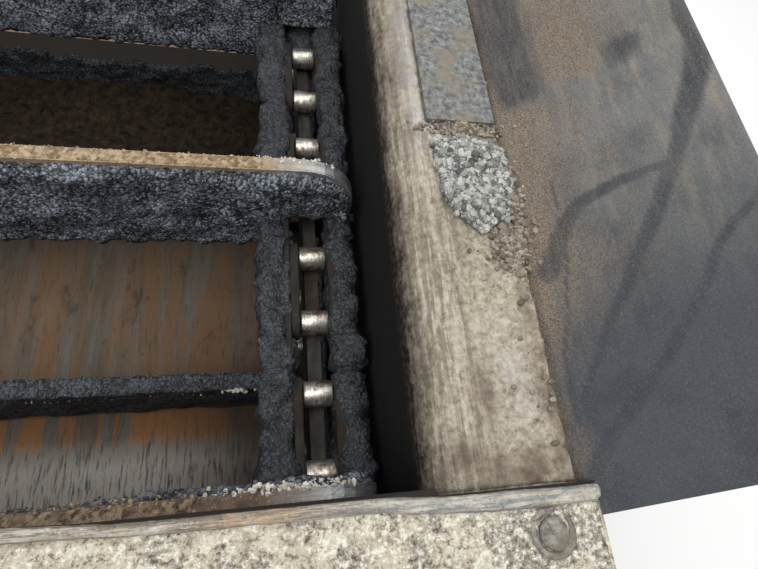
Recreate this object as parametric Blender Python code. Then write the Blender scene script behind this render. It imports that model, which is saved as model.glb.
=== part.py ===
"""Foot section of a drag slat conveyor: an open steel trough with two roller chains, the slat
flights that they pull, the tail shaft with its sprockets, and rubber wings along both sides.

X runs across the trough, +Y runs along it to the bolted joint, and +Z is up. The upper strand
runs back over the trough with its flights pointing up, and the lower strand drags its flights
along the floor liner. The origin is below the middle of the section, on the ground.
"""

import math

import bmesh
import bpy
from mathutils import Vector

# Fit and cutting
seat_gap = 0.0003       # between pieces that rest on each other
cut_overrun = 0.002     # how far a cutter runs past what it cuts
weld_overlap = 0.001    # how far welded pieces run into each other

# Chain
chain_pitch = 0.06627
sprocket_teeth = 9
roller_diameter = 0.023
roller_length = 0.027
roller_sides = 8
link_height = 0.0318
inner_link_thickness = 0.0079
outer_link_thickness = 0.0056
link_corner_share = 0.36        # of the link's height, cut off each corner of an outer plate
inner_link_end = 0.0115         # an inner plate's reach past its joints
chain_gauge = 0.6604        # between the two chains' centre planes
tail_phase = math.radians(1.2)  # from the top of the tail sprocket to its first seated roller
first_links_to_flight = 3       # links between the joint and the first flight
links_between_flights = 4

# Flights
flight_thickness = 0.0127
flight_above_chain = 0.084      # from the chain's centre line to the edge that scrapes
flight_below_chain = 0.028
flight_from_roller = 0.0182     # along its link
flight_past_chain = 0.038       # beyond the chain's centre plane
flight_corner_radius = 0.050
flight_chain_clearance = 0.003  # beside the chain's plates

# Trough
chain_to_wall = 0.0508
wall_thickness = 0.0095
floor_thickness = 0.00635
liner_thickness = 0.0095
liner_side_clearance = 0.004
flange_above_chain = 0.145      # the flange's top over the upper chain's centre line
flange_bend_radius = 0.030
flange_width = 0.0905
boot_clearance = 0.012          # from the flights' sweep round the tail to the end plate
joint_reach = 0.963             # from the tail shaft to the bolted joint
arc_steps = 8

# Cross channels and joint flange
channel_height = 0.1016
channel_flange = 0.040
channel_thickness = 0.0064
channel_past_wall = 0.020
channel_place_shares = (0.0, 0.47, 0.90)   # of the joint's distance from the tail shaft
joint_flange_width = 0.055
joint_flange_thickness = 0.0127
joint_hole_diameter = 0.0175
joint_holes_per_leg = 4
joint_holes_below = 6

# Foot cover
cover_reach = 0.171             # from the tail shaft to the cover's free edge
cover_thickness = 0.00635
cover_lip_depth = 0.030
cover_past_wall = 0.0985         # over each flange
cover_side_clearance = 0.003
wiper_thickness = 0.006
wiper_above_cover = 0.008
wiper_over_flights = 0.011

# Wings
wing_angle = math.radians(40)
wing_slant = 0.152
wing_thickness = 0.0095
wing_start_reach = 0.159        # from the tail shaft to the wings' near end
wing_notch_clearance = 0.002    # round the cover's corner
wing_bracket_thickness = 0.00635
wing_bracket_leg = 0.040
wing_bracket_slant = 0.066
splice_plate_start = 0.445      # from the tail shaft
splice_plate_thickness = 0.005

# Return rails
rail_thickness = 0.0127
rail_depth = 0.0508
rail_start_reach = 0.2065       # from the tail shaft to the rails' near end
rail_arm_height = 0.038
rail_arm_length = 0.0095
rail_arm_count = 4
rail_end_margin = 0.004

# Tail shaft, sprockets and take-ups
shaft_diameter = 0.0603
shaft_sides = 24
shaft_past_wall = 0.088
sprocket_thickness = 0.0240
sprocket_hub_diameter = 0.105
sprocket_hub_length = 0.070
tooth_height = 0.012            # above the pitch circle
tooth_tip_width = 0.014
seat_steps = 6
slot_clearance = 0.006
take_up_travel = 0.060
bearing_length = 0.110
bearing_height = 0.110
bearing_thickness = 0.048
bearing_nose_diameter = 0.084
bearing_nose_length = 0.018
guide_bar = 0.016
guide_depth = 0.030
guide_end = 0.016
groove_depth = 0.006
screw_diameter = 0.020
screw_sides = 12
screw_past_guide = 0.060
nut_across = 0.034
nut_thickness = 0.018

# Clean-out door in the end plate
door_opening_width = 0.540
door_opening_height = 0.120
door_overlap = 0.022
door_thickness = 0.00635
door_opening_above_shaft = 0.036
hinge_pin_diameter = 0.010
hinge_knuckle_diameter = 0.020
hinge_knuckle_length = 0.050
hinge_lug_thickness = 0.008
hinge_side_gap = 0.001
hinge_sides = 12
hinge_place_share = 0.36        # of the door's width, from its middle
handle_width = 0.140
handle_bar = 0.012
handle_reach = 0.038

# What follows from them
pitch_radius = chain_pitch / 2 / math.sin(math.pi / sprocket_teeth)
roller_radius = roller_diameter / 2
inner_link_side = roller_length / 2 + inner_link_thickness
outer_link_side = inner_link_side + outer_link_thickness
chain_x = chain_gauge / 2
wall_x = chain_x + chain_to_wall
wall_outside_x = wall_x + wall_thickness

floor_bottom_z = channel_height + seat_gap
floor_top_z = floor_bottom_z + floor_thickness
liner_top_z = floor_top_z + seat_gap + liner_thickness
lower_chain_z = liner_top_z + seat_gap + flight_above_chain
shaft_z = lower_chain_z + pitch_radius
upper_chain_z = shaft_z + pitch_radius
flange_z = upper_chain_z + flange_above_chain
cover_top_z = flange_z + seat_gap + cover_thickness

boot_radius = pitch_radius + flight_above_chain + boot_clearance
end_plate_reach = boot_radius + floor_thickness
hinge_reach = end_plate_reach + seat_gap + door_thickness + hinge_knuckle_diameter / 2
back_reach = end_plate_reach + seat_gap + door_thickness + handle_reach
shaft_y = (back_reach - joint_reach) / 2
joint_y = shaft_y + joint_reach
end_plate_y = shaft_y - end_plate_reach

finishes = {
    # name: colour, roughness, metallic
    "caked_steel": ((0.035, 0.034, 0.036), 0.85, 0.0),
    "chain_steel": ((0.085, 0.075, 0.066), 0.45, 0.8),
    "worn_liner": ((0.27, 0.22, 0.18), 0.45, 0.7),
    "dusty_steel": ((0.27, 0.23, 0.19), 0.8, 0.1),
    "bare_steel": ((0.33, 0.35, 0.37), 0.4, 0.9),
    "rubber": ((0.045, 0.045, 0.05), 0.75, 0.0),
    "grey_rubber": ((0.36, 0.36, 0.36), 0.7, 0.0),
    "frame_paint": ((0.16, 0.17, 0.18), 0.55, 0.1),
    "machined_steel": ((0.30, 0.28, 0.26), 0.35, 0.9),
    "cast_iron": ((0.10, 0.10, 0.11), 0.65, 0.5),
}


def clear_scene():
    for old in list(bpy.data.objects):
        bpy.data.objects.remove(old, do_unlink=True)


def finish(name):
    """The Principled material of this name, made once."""
    if name in bpy.data.materials:
        return bpy.data.materials[name]
    colour, roughness, metallic = finishes[name]
    made = bpy.data.materials.new(name)
    made.use_nodes = True
    shader = made.node_tree.nodes["Principled BSDF"]
    shader.inputs["Base Color"].default_value = (*colour, 1)
    shader.inputs["Roughness"].default_value = roughness
    shader.inputs["Metallic"].default_value = metallic
    return made


def add_object(name, shape, finish_name, place=(0, 0, 0), smooth=False):
    """A scene object from a bmesh, at its place."""
    bmesh.ops.recalc_face_normals(shape, faces=shape.faces)
    mesh = bpy.data.meshes.new(name)
    shape.to_mesh(mesh)
    shape.free()
    mesh.materials.append(finish(finish_name))
    if smooth:
        mesh.shade_smooth()
        mesh.set_sharp_from_angle(angle=math.radians(35))
    made = bpy.data.objects.new(name, mesh)
    made.location = place
    bpy.context.collection.objects.link(made)
    return made


def point_on(axis, along, first, second):
    """A point from a length along X, Y or Z and the two coordinates across it, in X, Y, Z order."""
    return {"X": (along, first, second), "Y": (first, along, second), "Z": (first, second, along)}[axis]


def add_prism(shape, outline, low, high, axis):
    """Extrudes an outline along an axis, from low to high, into a bmesh."""
    near = [shape.verts.new(point_on(axis, low, *corner)) for corner in outline]
    face = shape.faces.new(near)
    made = bmesh.ops.extrude_face_region(shape, geom=[face])
    moved = [item for item in made["geom"] if isinstance(item, bmesh.types.BMVert)]
    for corner in moved:
        corner.co["XYZ".index(axis)] = high


def prism(outline, low, high, axis):
    shape = bmesh.new()
    add_prism(shape, outline, low, high, axis)
    return shape


def rectangle(low_first, low_second, high_first, high_second):
    return [(low_first, low_second), (high_first, low_second),
            (high_first, high_second), (low_first, high_second)]


def arc(centre, radius, start, end, steps):
    """Points round a centre, from one angle to the other."""
    turns = [start + (end - start) * step / steps for step in range(steps + 1)]
    return [(centre[0] + radius * math.cos(turn), centre[1] + radius * math.sin(turn)) for turn in turns]


def circle(centre, radius, sides):
    return arc(centre, radius, 0, math.tau, sides)[:-1]


def thickened(path, thickness):
    """The outline of a sheet whose left face follows the path."""
    points = [Vector(point) for point in path]
    far = []
    for place, point in enumerate(points):
        before = points[max(place - 1, 0)]
        after = points[min(place + 1, len(points) - 1)]
        arriving = (point - before).normalized() if place else (after - point).normalized()
        leaving = (after - point).normalized() if place + 1 < len(points) else arriving
        normals = [Vector((way.y, -way.x)) for way in (arriving, leaving)]
        middle = (normals[0] + normals[1]).normalized()
        far.append(point + middle * thickness / middle.dot(normals[0]))
    return [tuple(point) for point in points + far[::-1]]


def combine(target, operation, others):
    """Joins or cuts other objects, which stay behind as hidden guides."""
    for other in others:
        other.hide_render = True
        other.display_type = "WIRE"
        made = target.modifiers.new(other.name, "BOOLEAN")
        made.operation = operation
        made.object = other
    return target


def mirrored(outline, side):
    return [(first * side, second) for first, second in outline]


def chain_joints():
    """The rollers' centres about the tail shaft, as (y, z), from the joint over the top and back
    along the floor. Round the sprocket they lie a pitch apart on the pitch circle."""
    angle_step = math.tau / sprocket_teeth
    seated = []
    while tail_phase + len(seated) * angle_step < math.pi:
        turn = tail_phase + len(seated) * angle_step
        seated.append((-pitch_radius * math.sin(turn), pitch_radius * math.cos(turn)))
    last_reach = joint_reach - link_height / 2 - rail_end_margin

    def straight(start, height):
        rise = height - start[1]
        first = start[0] + math.sqrt(chain_pitch ** 2 - rise ** 2)
        count = int((last_reach - first) / chain_pitch) + 1
        return [(first + chain_pitch * step, height) for step in range(count)]

    upper = straight(seated[0], pitch_radius)
    lower = straight(seated[-1], -pitch_radius)
    return upper[::-1] + seated + lower


def plate_outline(start, end, reach, corner):
    """A link plate about two joints, with its ends a reach past them and its corners cut."""
    first, second = Vector(start), Vector(end)
    along = (second - first).normalized()
    across = Vector((-along.y, along.x))
    half = link_height / 2
    points = []
    for centre, way in ((second, 1), (first, -1)):
        far = centre + along * way * reach
        corners = [far - across * way * half, far + across * way * half]
        if not corner:
            points += corners
            continue
        back, up = along * way * corner, across * way * corner
        points += [corners[0] - back, corners[0] + up, corners[1] - up, corners[1] - back]
    return [tuple(point) for point in points]


def make_chain(name, side, joints):
    """One strand as one body: inner plates carry the rollers, and outer plates lie against them."""
    shape = bmesh.new()
    half_roller = roller_length / 2
    for number, (start, end) in enumerate(zip(joints, joints[1:])):
        if number % 2:
            outline = plate_outline(start, end, link_height / 2, link_height * link_corner_share)
            near, far = inner_link_side, outer_link_side
        else:
            outline = plate_outline(start, end, inner_link_end, 0)
            near, far = half_roller, inner_link_side
            for centre in (start, end):
                add_prism(shape, circle(centre, roller_radius, roller_sides), -half_roller, half_roller, "X")
        add_prism(shape, outline, near, far, "X")
        if number:
            add_prism(shape, outline, -far, -near, "X")
    place = (side * chain_x, shaft_y, shaft_z)
    made = add_object(name, shape, "chain_steel", place)
    first = prism(plate_outline(joints[0], joints[1], inner_link_end, 0), -inner_link_side, -half_roller, "X")
    joined = combine(made, "UNION", [add_object(name + "_first_plate", first, "chain_steel", place)])
    joined.modifiers[0].use_self = True
    joined.modifiers.new("even triangles", "TRIANGULATE")
    return joined


def flight_outline():
    """A flight across both chains, as (x, height over the chain's centre line). It hangs between
    the chains and rests on their plates."""
    rest = link_height / 2 + seat_gap
    inside_x = chain_x - outer_link_side - flight_chain_clearance
    end_x = chain_x + flight_past_chain
    corner = (end_x - flight_corner_radius, flight_above_chain - flight_corner_radius)
    half = [(inside_x, -flight_below_chain), (inside_x, rest), (end_x, rest)]
    half += arc(corner, flight_corner_radius, 0, math.pi / 2, arc_steps)
    return half + [(-x, height) for x, height in reversed(half)]


def make_flights(joints):
    links = range(first_links_to_flight, len(joints) - 1, links_between_flights)
    for number, link in enumerate(links):
        start, end = Vector(joints[link]), Vector(joints[link + 1])
        along = (end - start).normalized()
        centre = start + along * flight_from_roller
        shape = prism(flight_outline(), -flight_thickness / 2, flight_thickness / 2, "Y")
        made = add_object(f"flight_{number + 1}", shape, "caked_steel")
        made.location = (0, shaft_y + centre.x, shaft_z + centre.y)
        made.rotation_euler = (math.atan2(along.y, along.x) + math.pi, 0, 0)


def sprocket_outline():
    """Nine roller seats with blunt teeth between them, turned to meet the seated rollers."""
    step = math.tau / sprocket_teeth
    seat_radius = (roller_radius + seat_gap) / math.cos(math.pi / 2 / seat_steps)
    tip_radius = pitch_radius + tooth_height
    half_tip = tooth_tip_width / 2 / tip_radius
    points = []
    for tooth in range(sprocket_teeth):
        turn = math.pi / 2 + tail_phase + tooth * step
        centre = (pitch_radius * math.cos(turn), pitch_radius * math.sin(turn))
        points += arc(centre, seat_radius, turn - math.pi / 2, turn - math.pi * 3 / 2, seat_steps)
        middle = turn + step / 2
        points += [(tip_radius * math.cos(edge), tip_radius * math.sin(edge))
                   for edge in (middle - half_tip, middle + half_tip)]
    return points


def make_tail():
    shaft_end = wall_outside_x + shaft_past_wall
    centre = (0, shaft_y, shaft_z)
    shaft = prism(circle((0, 0), shaft_diameter / 2, shaft_sides), -shaft_end, shaft_end, "X")
    add_object("tail_shaft", shaft, "machined_steel", centre, smooth=True)
    for label, side in (("left", -1), ("right", 1)):
        place = (side * chain_x, shaft_y, shaft_z)
        wheel = add_object(f"tail_sprocket_{label}", prism(
            sprocket_outline(), -sprocket_thickness / 2, sprocket_thickness / 2, "X"), "machined_steel", place)
        hub = add_object(f"hub_{label}", prism(
            circle((0, 0), sprocket_hub_diameter / 2, shaft_sides),
            -sprocket_hub_length / 2, sprocket_hub_length / 2, "X"), "machined_steel", place)
        bore_end = sprocket_hub_length / 2 + cut_overrun
        bore = add_object(f"bore_{label}", prism(
            circle((0, 0), shaft_diameter / 2 + seat_gap, shaft_sides), -bore_end, bore_end, "X"),
            "machined_steel", place)
        combine(wheel, "UNION", [hub])
        combine(wheel, "DIFFERENCE", [bore])


def make_take_ups():
    """Bearing blocks outside the walls, each between two guide bars, with its adjusting screw."""
    half_block = bearing_height / 2
    guide_near = shaft_y - bearing_length / 2 - take_up_travel
    guide_far = shaft_y + bearing_length / 2 + take_up_travel / 2
    for label, side in (("left", -1), ("right", 1)):
        near_x = wall_outside_x + seat_gap
        place = (0, shaft_y, shaft_z)

        def across(low, high):
            return (low, high) if side > 0 else (-high, -low)

        block_low, block_high = across(near_x, near_x + bearing_thickness)
        block = add_object(f"bearing_{label}", prism(rectangle(
            -bearing_length / 2, -half_block, bearing_length / 2, half_block), block_low, block_high, "X"),
            "cast_iron", place)
        nose_low, nose_high = across(near_x + bearing_thickness - weld_overlap,
                                     near_x + bearing_thickness + bearing_nose_length)
        nose = add_object(f"bearing_nose_{label}", prism(
            circle((0, 0), bearing_nose_diameter / 2, shaft_sides), nose_low, nose_high, "X"),
            "cast_iron", place)
        bore_low, bore_high = across(near_x - cut_overrun, near_x + bearing_thickness
                                     + bearing_nose_length + cut_overrun)
        bore = add_object(f"bearing_bore_{label}", prism(
            circle((0, 0), shaft_diameter / 2 + seat_gap, shaft_sides), bore_low, bore_high, "X"),
            "cast_iron", place)
        middle = near_x + bearing_thickness / 2
        groove_low, groove_high = across(middle - guide_bar / 2 - seat_gap, middle + guide_bar / 2 + seat_gap)
        grooves = []
        for name, way in (("upper", 1), ("lower", -1)):
            edges = sorted((way * (half_block - groove_depth), way * (half_block + cut_overrun)))
            grooves.append(add_object(f"{name}_groove_{label}", prism(rectangle(
                -bearing_length / 2 - cut_overrun, edges[0], bearing_length / 2 + cut_overrun, edges[1]),
                groove_low, groove_high, "X"), "cast_iron", place))
        combine(block, "UNION", [nose])
        combine(block, "DIFFERENCE", [bore] + grooves)

        bar_low, bar_high = across(near_x, middle + guide_bar / 2)
        frame_outer = rectangle(guide_near - guide_end, shaft_z - half_block - guide_depth,
                                guide_far + guide_end, shaft_z + half_block + guide_depth)
        window = rectangle(guide_near, shaft_z - half_block - seat_gap,
                           guide_far, shaft_z + half_block + seat_gap)
        guide = add_object(f"take_up_guide_{label}", prism(frame_outer, bar_low, bar_high, "X"), "frame_paint")
        opening = add_object(f"take_up_window_{label}", prism(
            window, bar_low - cut_overrun, bar_high + cut_overrun, "X"), "frame_paint")
        combine(guide, "DIFFERENCE", [opening])

        screw_place = (side * middle, 0, shaft_z)
        screw_start = guide_near - guide_end - screw_past_guide
        screw_end = shaft_y - bearing_length / 2 - seat_gap
        screw = add_object(f"take_up_screw_{label}", prism(
            circle((0, 0), screw_diameter / 2, screw_sides), screw_start, screw_end, "Y"),
            "machined_steel", screw_place)
        screw_hole = add_object(f"screw_hole_{label}", prism(
            circle((0, 0), screw_diameter / 2 + seat_gap, screw_sides),
            guide_near - guide_end - cut_overrun, guide_near + cut_overrun, "Y"), "frame_paint", screw_place)
        combine(guide, "DIFFERENCE", [screw_hole])
        nuts = []
        for name, start in (("outer", guide_near - guide_end - seat_gap - nut_thickness),
                            ("inner", guide_near + seat_gap)):
            nuts.append(add_object(f"{name}_nut_{label}", prism(
                circle((0, 0), nut_across / math.sqrt(3), 6), start, start + nut_thickness, "Y"),
                "machined_steel", screw_place))
        combine(screw, "UNION", nuts)


def make_side_plates():
    """Each wall is folded outward at its top into a flange, and slotted for the tail shaft."""
    bend = (flange_bend_radius, flange_z - flange_bend_radius)
    face = [(0, floor_bottom_z)] + arc(bend, flange_bend_radius, math.pi, math.pi / 2, arc_steps)
    face.append((flange_width, flange_z))
    outline = thickened(face, wall_thickness)
    slot_height = shaft_diameter + slot_clearance
    for label, side in (("left", -1), ("right", 1)):
        plate = add_object(f"side_plate_{label}", prism(
            mirrored(outline, side), end_plate_y, joint_y, "Y"), "dusty_steel", (side * wall_x, 0, 0))
        slot = arc((shaft_y - take_up_travel / 2, shaft_z), slot_height / 2,
                   math.pi / 2, math.pi * 3 / 2, arc_steps)
        slot += arc((shaft_y + take_up_travel / 4, shaft_z), slot_height / 2,
                    -math.pi / 2, math.pi / 2, arc_steps)
        low, high = sorted((side * (wall_x - cut_overrun), side * (wall_outside_x + cut_overrun)))
        cutter = add_object(f"shaft_slot_{label}", prism(slot, low, high, "X"), "dusty_steel")
        combine(plate, "DIFFERENCE", [cutter])


def make_floor():
    """The floor plate turns up round the tail as the boot, and the liner lies on its flat part."""
    half_width = wall_x - seat_gap
    boot_centre = (shaft_y, floor_top_z + boot_radius)
    face = [(joint_y, floor_top_z)]
    face += arc(boot_centre, boot_radius, -math.pi / 2, -math.pi, arc_steps * 2)
    outline = thickened(face[::-1], floor_thickness)
    floor = prism(outline, -half_width, half_width, "X")
    add_object("floor_plate", floor, "frame_paint", smooth=True)
    liner_half = half_width - liner_side_clearance
    liner = prism(rectangle(-liner_half, shaft_y, liner_half, joint_y),
                  floor_top_z + seat_gap, liner_top_z, "Z")
    add_object("floor_liner", liner, "worn_liner")
    return boot_centre


def make_end_plate(boot_centre):
    half_width = wall_x - seat_gap
    bottom = boot_centre[1] + seat_gap
    top = flange_z
    back, front = end_plate_y, end_plate_y + floor_thickness
    plate = add_object("end_plate", prism(rectangle(
        -half_width, bottom, half_width, top), back, front, "Y"), "frame_paint")
    opening_low = shaft_z + door_opening_above_shaft
    opening = add_object("clean_out_opening", prism(rectangle(
        -door_opening_width / 2, opening_low, door_opening_width / 2, opening_low + door_opening_height),
        back - cut_overrun, front + cut_overrun, "Y"), "frame_paint")
    combine(plate, "DIFFERENCE", [opening])

    axis_y = shaft_y - hinge_reach
    axis_z = opening_low + door_opening_height + door_overlap + hinge_knuckle_diameter / 2
    knuckle_radius = hinge_knuckle_diameter / 2
    lug_reach = hinge_knuckle_length / 2 + hinge_side_gap
    hinge_x = door_opening_width * hinge_place_share
    lugs = []
    for label, side in (("left", -1), ("right", 1)):
        for edge, way in (("near", -1), ("far", 1)):
            start = side * hinge_x + (lug_reach if way > 0 else -lug_reach - hinge_lug_thickness)
            outline = arc((axis_y, axis_z), knuckle_radius, math.pi, 0, hinge_sides // 2)
            outline += [(back + weld_overlap, axis_z), (back + weld_overlap, axis_z - knuckle_radius),
                        (axis_y - knuckle_radius, axis_z - knuckle_radius)]
            lugs.append(add_object(f"hinge_lug_{label}_{edge}", prism(
                outline, start, start + hinge_lug_thickness, "X"), "frame_paint"))
        pin_reach = lug_reach + weld_overlap
        lugs.append(add_object(f"hinge_pin_{label}", prism(
            circle((axis_y, axis_z), hinge_pin_diameter / 2, hinge_sides),
            side * hinge_x - pin_reach, side * hinge_x + pin_reach, "X"), "frame_paint"))
    combine(plate, "UNION", lugs)
    make_door(axis_y, axis_z, hinge_x)


def make_door(axis_y, axis_z, hinge_x):
    """The door hangs from its hinge over the clean-out opening. Its origin is on the hinge axis."""
    half_width = door_opening_width / 2 + door_overlap
    front = hinge_knuckle_diameter / 2
    back = front + door_thickness
    top = -hinge_knuckle_diameter / 2
    bottom = top - door_opening_height - door_overlap * 2
    place = (0, axis_y, axis_z)
    door = add_object("clean_out_door", prism(rectangle(
        -half_width, bottom, half_width, top), front, back, "Y"), "frame_paint", place)
    joined = []
    for label, side in (("left", -1), ("right", 1)):
        radius = hinge_knuckle_diameter / 2
        low_x = side * hinge_x - hinge_knuckle_length / 2
        high_x = low_x + hinge_knuckle_length
        outline = arc((0, 0), radius, math.pi / 2, math.pi * 3 / 2, hinge_sides // 2)
        outline += [(0, top - weld_overlap), (back, top - weld_overlap), (back, 0)]
        outline += arc((0, 0), radius, 0, math.pi / 2, hinge_sides // 4)[1:-1]
        joined.append(add_object(f"door_knuckle_{label}", prism(
            outline, low_x, high_x, "X"), "frame_paint", place))
    bar = handle_bar / 2
    grip_z = bottom + door_overlap + handle_bar
    reach = handle_reach - hinge_knuckle_diameter / 2
    for label, side in (("left", -1), ("right", 1)):
        middle = side * (handle_width / 2 - bar)
        joined.append(add_object(f"handle_leg_{label}", prism(rectangle(
            middle - bar, grip_z - bar, middle + bar, grip_z + bar),
            -reach, front + weld_overlap, "Y"), "frame_paint", place))
    joined.append(add_object("handle_grip", prism(rectangle(
        -reach, grip_z - bar, -reach + handle_bar, grip_z + bar),
        -handle_width / 2, handle_width / 2, "X"), "frame_paint", place))
    combine(door, "UNION", joined)
    bores = []
    for label, side in (("left", -1), ("right", 1)):
        reach_x = hinge_knuckle_length / 2 + cut_overrun
        bores.append(add_object(f"door_bore_{label}", prism(
            circle((0, 0), hinge_pin_diameter / 2 + seat_gap * 2, hinge_sides),
            side * hinge_x - reach_x, side * hinge_x + reach_x, "X"), "frame_paint", place))
    combine(door, "DIFFERENCE", bores)


def make_cover():
    """A plate over the tail, with a rubber wiper hung on its free edge."""
    edge_y = shaft_y + cover_reach
    bottom = flange_z + seat_gap
    half_width = wall_x + cover_past_wall
    cover = add_object("foot_cover", prism(rectangle(
        -half_width, end_plate_y, half_width, edge_y), bottom, cover_top_z, "Z"), "dusty_steel")
    lip_half = wall_x - cover_side_clearance
    lip = add_object("cover_lip", prism(rectangle(
        -lip_half, edge_y - cover_thickness, lip_half, edge_y), bottom - cover_lip_depth,
        bottom + weld_overlap, "Z"), "dusty_steel")
    combine(cover, "UNION", [lip])
    low = upper_chain_z + flight_above_chain + wiper_over_flights
    top = cover_top_z + wiper_above_cover
    half = [(lip_half, low), (lip_half, flange_z + seat_gap), (half_width, flange_z + seat_gap),
            (half_width, top)]
    outline = half + [(-x, z) for x, z in reversed(half)]
    start = edge_y + seat_gap
    add_object("cover_wiper", prism(outline, start, start + wiper_thickness, "Y"), "grey_rubber")


def make_wings():
    """A folded bracket under each flange carries the rubber wing, which lies on its slanted leg."""
    start_y = shaft_y + wing_start_reach
    corner_y = shaft_y + cover_reach + seat_gap + wiper_thickness + wing_notch_clearance
    leg_z = flange_z - wall_thickness - seat_gap
    slope = Vector((math.cos(wing_angle), math.sin(wing_angle)))
    across = Vector((-slope.y, slope.x))
    fold = Vector((flange_width + seat_gap, leg_z))
    path = [(flange_width - wing_bracket_leg, leg_z), fold, fold + slope * wing_bracket_slant]
    bracket = thickened(path, wing_bracket_thickness)
    corner = Vector((flange_width, flange_z)) - fold
    foot = fold + slope * (corner.dot(slope) + seat_gap) + across * seat_gap
    sheet = [foot, foot + slope * wing_slant, foot + slope * wing_slant + across * wing_thickness,
             foot + across * wing_thickness]
    for label, side in (("left", -1), ("right", 1)):
        place = (side * wall_x, 0, 0)
        wing = add_object(f"wing_{label}", prism(
            mirrored([tuple(point) for point in sheet], side), start_y, joint_y, "Y"), "rubber", place)
        near_x, far_x = sorted((0, side * (cover_past_wall + wing_notch_clearance)))
        notch = add_object(f"wing_notch_{label}", prism(rectangle(
            near_x, flange_z - wall_thickness, far_x, cover_top_z + wing_slant),
            start_y - cut_overrun, corner_y, "Y"), "rubber", place)
        combine(wing, "DIFFERENCE", [notch])
        add_object(f"wing_bracket_{label}", prism(mirrored(bracket, side), corner_y, joint_y, "Y"),
                   "frame_paint", place)
        plate = rectangle(flange_bend_radius, flange_z + seat_gap, flange_width - cover_side_clearance,
                          flange_z + seat_gap + splice_plate_thickness)
        add_object(f"splice_plate_{label}", prism(mirrored(plate, side),
                                                  shaft_y + splice_plate_start, joint_y, "Y"),
                   "bare_steel", place)


def make_rails():
    """A flat bar on edge under each upper chain, on arms from the wall."""
    top = upper_chain_z - roller_radius - seat_gap
    start = shaft_y + rail_start_reach
    end = joint_y - rail_end_margin
    half = rail_thickness / 2
    spacing = (end - start - rail_arm_length) / (rail_arm_count - 1)
    for label, side in (("left", -1), ("right", 1)):
        rail = add_object(f"return_rail_{label}", prism(rectangle(
            -half, top - rail_depth, half, top), start, end, "Y"), "worn_liner", (side * chain_x, 0, 0))
        low_x, high_x = sorted((side * (half - weld_overlap), side * (chain_to_wall - seat_gap)))
        arms = []
        for number in range(rail_arm_count):
            arm_y = start + spacing * number
            arms.append(add_object(f"rail_arm_{label}_{number + 1}", prism(rectangle(
                low_x, top - rail_depth, high_x, top - rail_depth + rail_arm_height),
                arm_y, arm_y + rail_arm_length, "Y"), "worn_liner", (side * chain_x, 0, 0)))
        combine(rail, "UNION", arms)


def make_supports():
    """Channels across the bottom, and the flange that bolts to the next section."""
    half_width = wall_outside_x + channel_past_wall
    for number, share in enumerate(channel_place_shares):
        place_y = shaft_y + joint_reach * share
        web, lip = channel_thickness, channel_flange
        outline = [(0, 0), (lip, 0), (lip, web), (web, web), (web, channel_height - web),
                   (lip, channel_height - web), (lip, channel_height), (0, channel_height)]
        add_object(f"cross_channel_{number + 1}", prism(outline, -half_width, half_width, "X"),
                   "frame_paint", (0, place_y, 0))

    inside = wall_outside_x + seat_gap
    outside = inside + joint_flange_width
    low = floor_bottom_z - seat_gap - joint_flange_width
    top = flange_z - flange_bend_radius - seat_gap
    outline = [(-inside, top), (-outside, top), (-outside, low), (outside, low), (outside, top),
               (inside, top), (inside, floor_bottom_z - seat_gap), (-inside, floor_bottom_z - seat_gap)]
    flange = add_object("joint_flange", prism(
        outline, joint_y - joint_flange_thickness, joint_y, "Y"), "frame_paint")
    holes = []
    middle = (inside + outside) / 2
    leg_step = (top - floor_bottom_z) / joint_holes_per_leg
    places = [(side * middle, floor_bottom_z + leg_step * (row + 0.5))
              for side in (-1, 1) for row in range(joint_holes_per_leg)]
    bottom_step = inside * 2 / joint_holes_below
    places += [(-inside + bottom_step * (column + 0.5), floor_bottom_z - joint_flange_width / 2)
               for column in range(joint_holes_below)]
    shape = bmesh.new()
    for centre in places:
        add_prism(shape, circle(centre, joint_hole_diameter / 2, roller_sides),
                  joint_y - joint_flange_thickness - cut_overrun, joint_y + cut_overrun, "Y")
    holes.append(add_object("joint_holes", shape, "frame_paint"))
    combine(flange, "DIFFERENCE", holes)


def build():
    clear_scene()
    joints = chain_joints()
    for label, side in (("left", -1), ("right", 1)):
        make_chain(f"chain_{label}", side, joints)
    make_flights(joints)
    make_tail()
    make_take_ups()
    make_side_plates()
    make_end_plate(make_floor())
    make_cover()
    make_wings()
    make_rails()
    make_supports()


build()
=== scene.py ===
import math

import bpy
import numpy as np
from mathutils import Matrix, Vector


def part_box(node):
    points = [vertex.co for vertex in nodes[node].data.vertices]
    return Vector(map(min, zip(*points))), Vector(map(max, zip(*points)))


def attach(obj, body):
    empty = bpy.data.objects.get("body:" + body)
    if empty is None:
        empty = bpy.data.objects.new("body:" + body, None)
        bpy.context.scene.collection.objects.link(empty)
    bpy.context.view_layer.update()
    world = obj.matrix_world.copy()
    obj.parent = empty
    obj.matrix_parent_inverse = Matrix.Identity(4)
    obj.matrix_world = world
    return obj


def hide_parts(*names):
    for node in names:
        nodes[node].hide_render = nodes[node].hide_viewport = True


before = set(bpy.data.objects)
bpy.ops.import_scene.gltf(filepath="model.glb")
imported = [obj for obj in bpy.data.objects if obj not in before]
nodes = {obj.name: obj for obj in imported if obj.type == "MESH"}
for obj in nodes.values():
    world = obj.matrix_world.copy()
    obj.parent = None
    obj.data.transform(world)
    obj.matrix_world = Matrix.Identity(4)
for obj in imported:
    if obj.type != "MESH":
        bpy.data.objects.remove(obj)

scene = bpy.context.scene
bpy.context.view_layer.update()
print("frame loaded")

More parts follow.
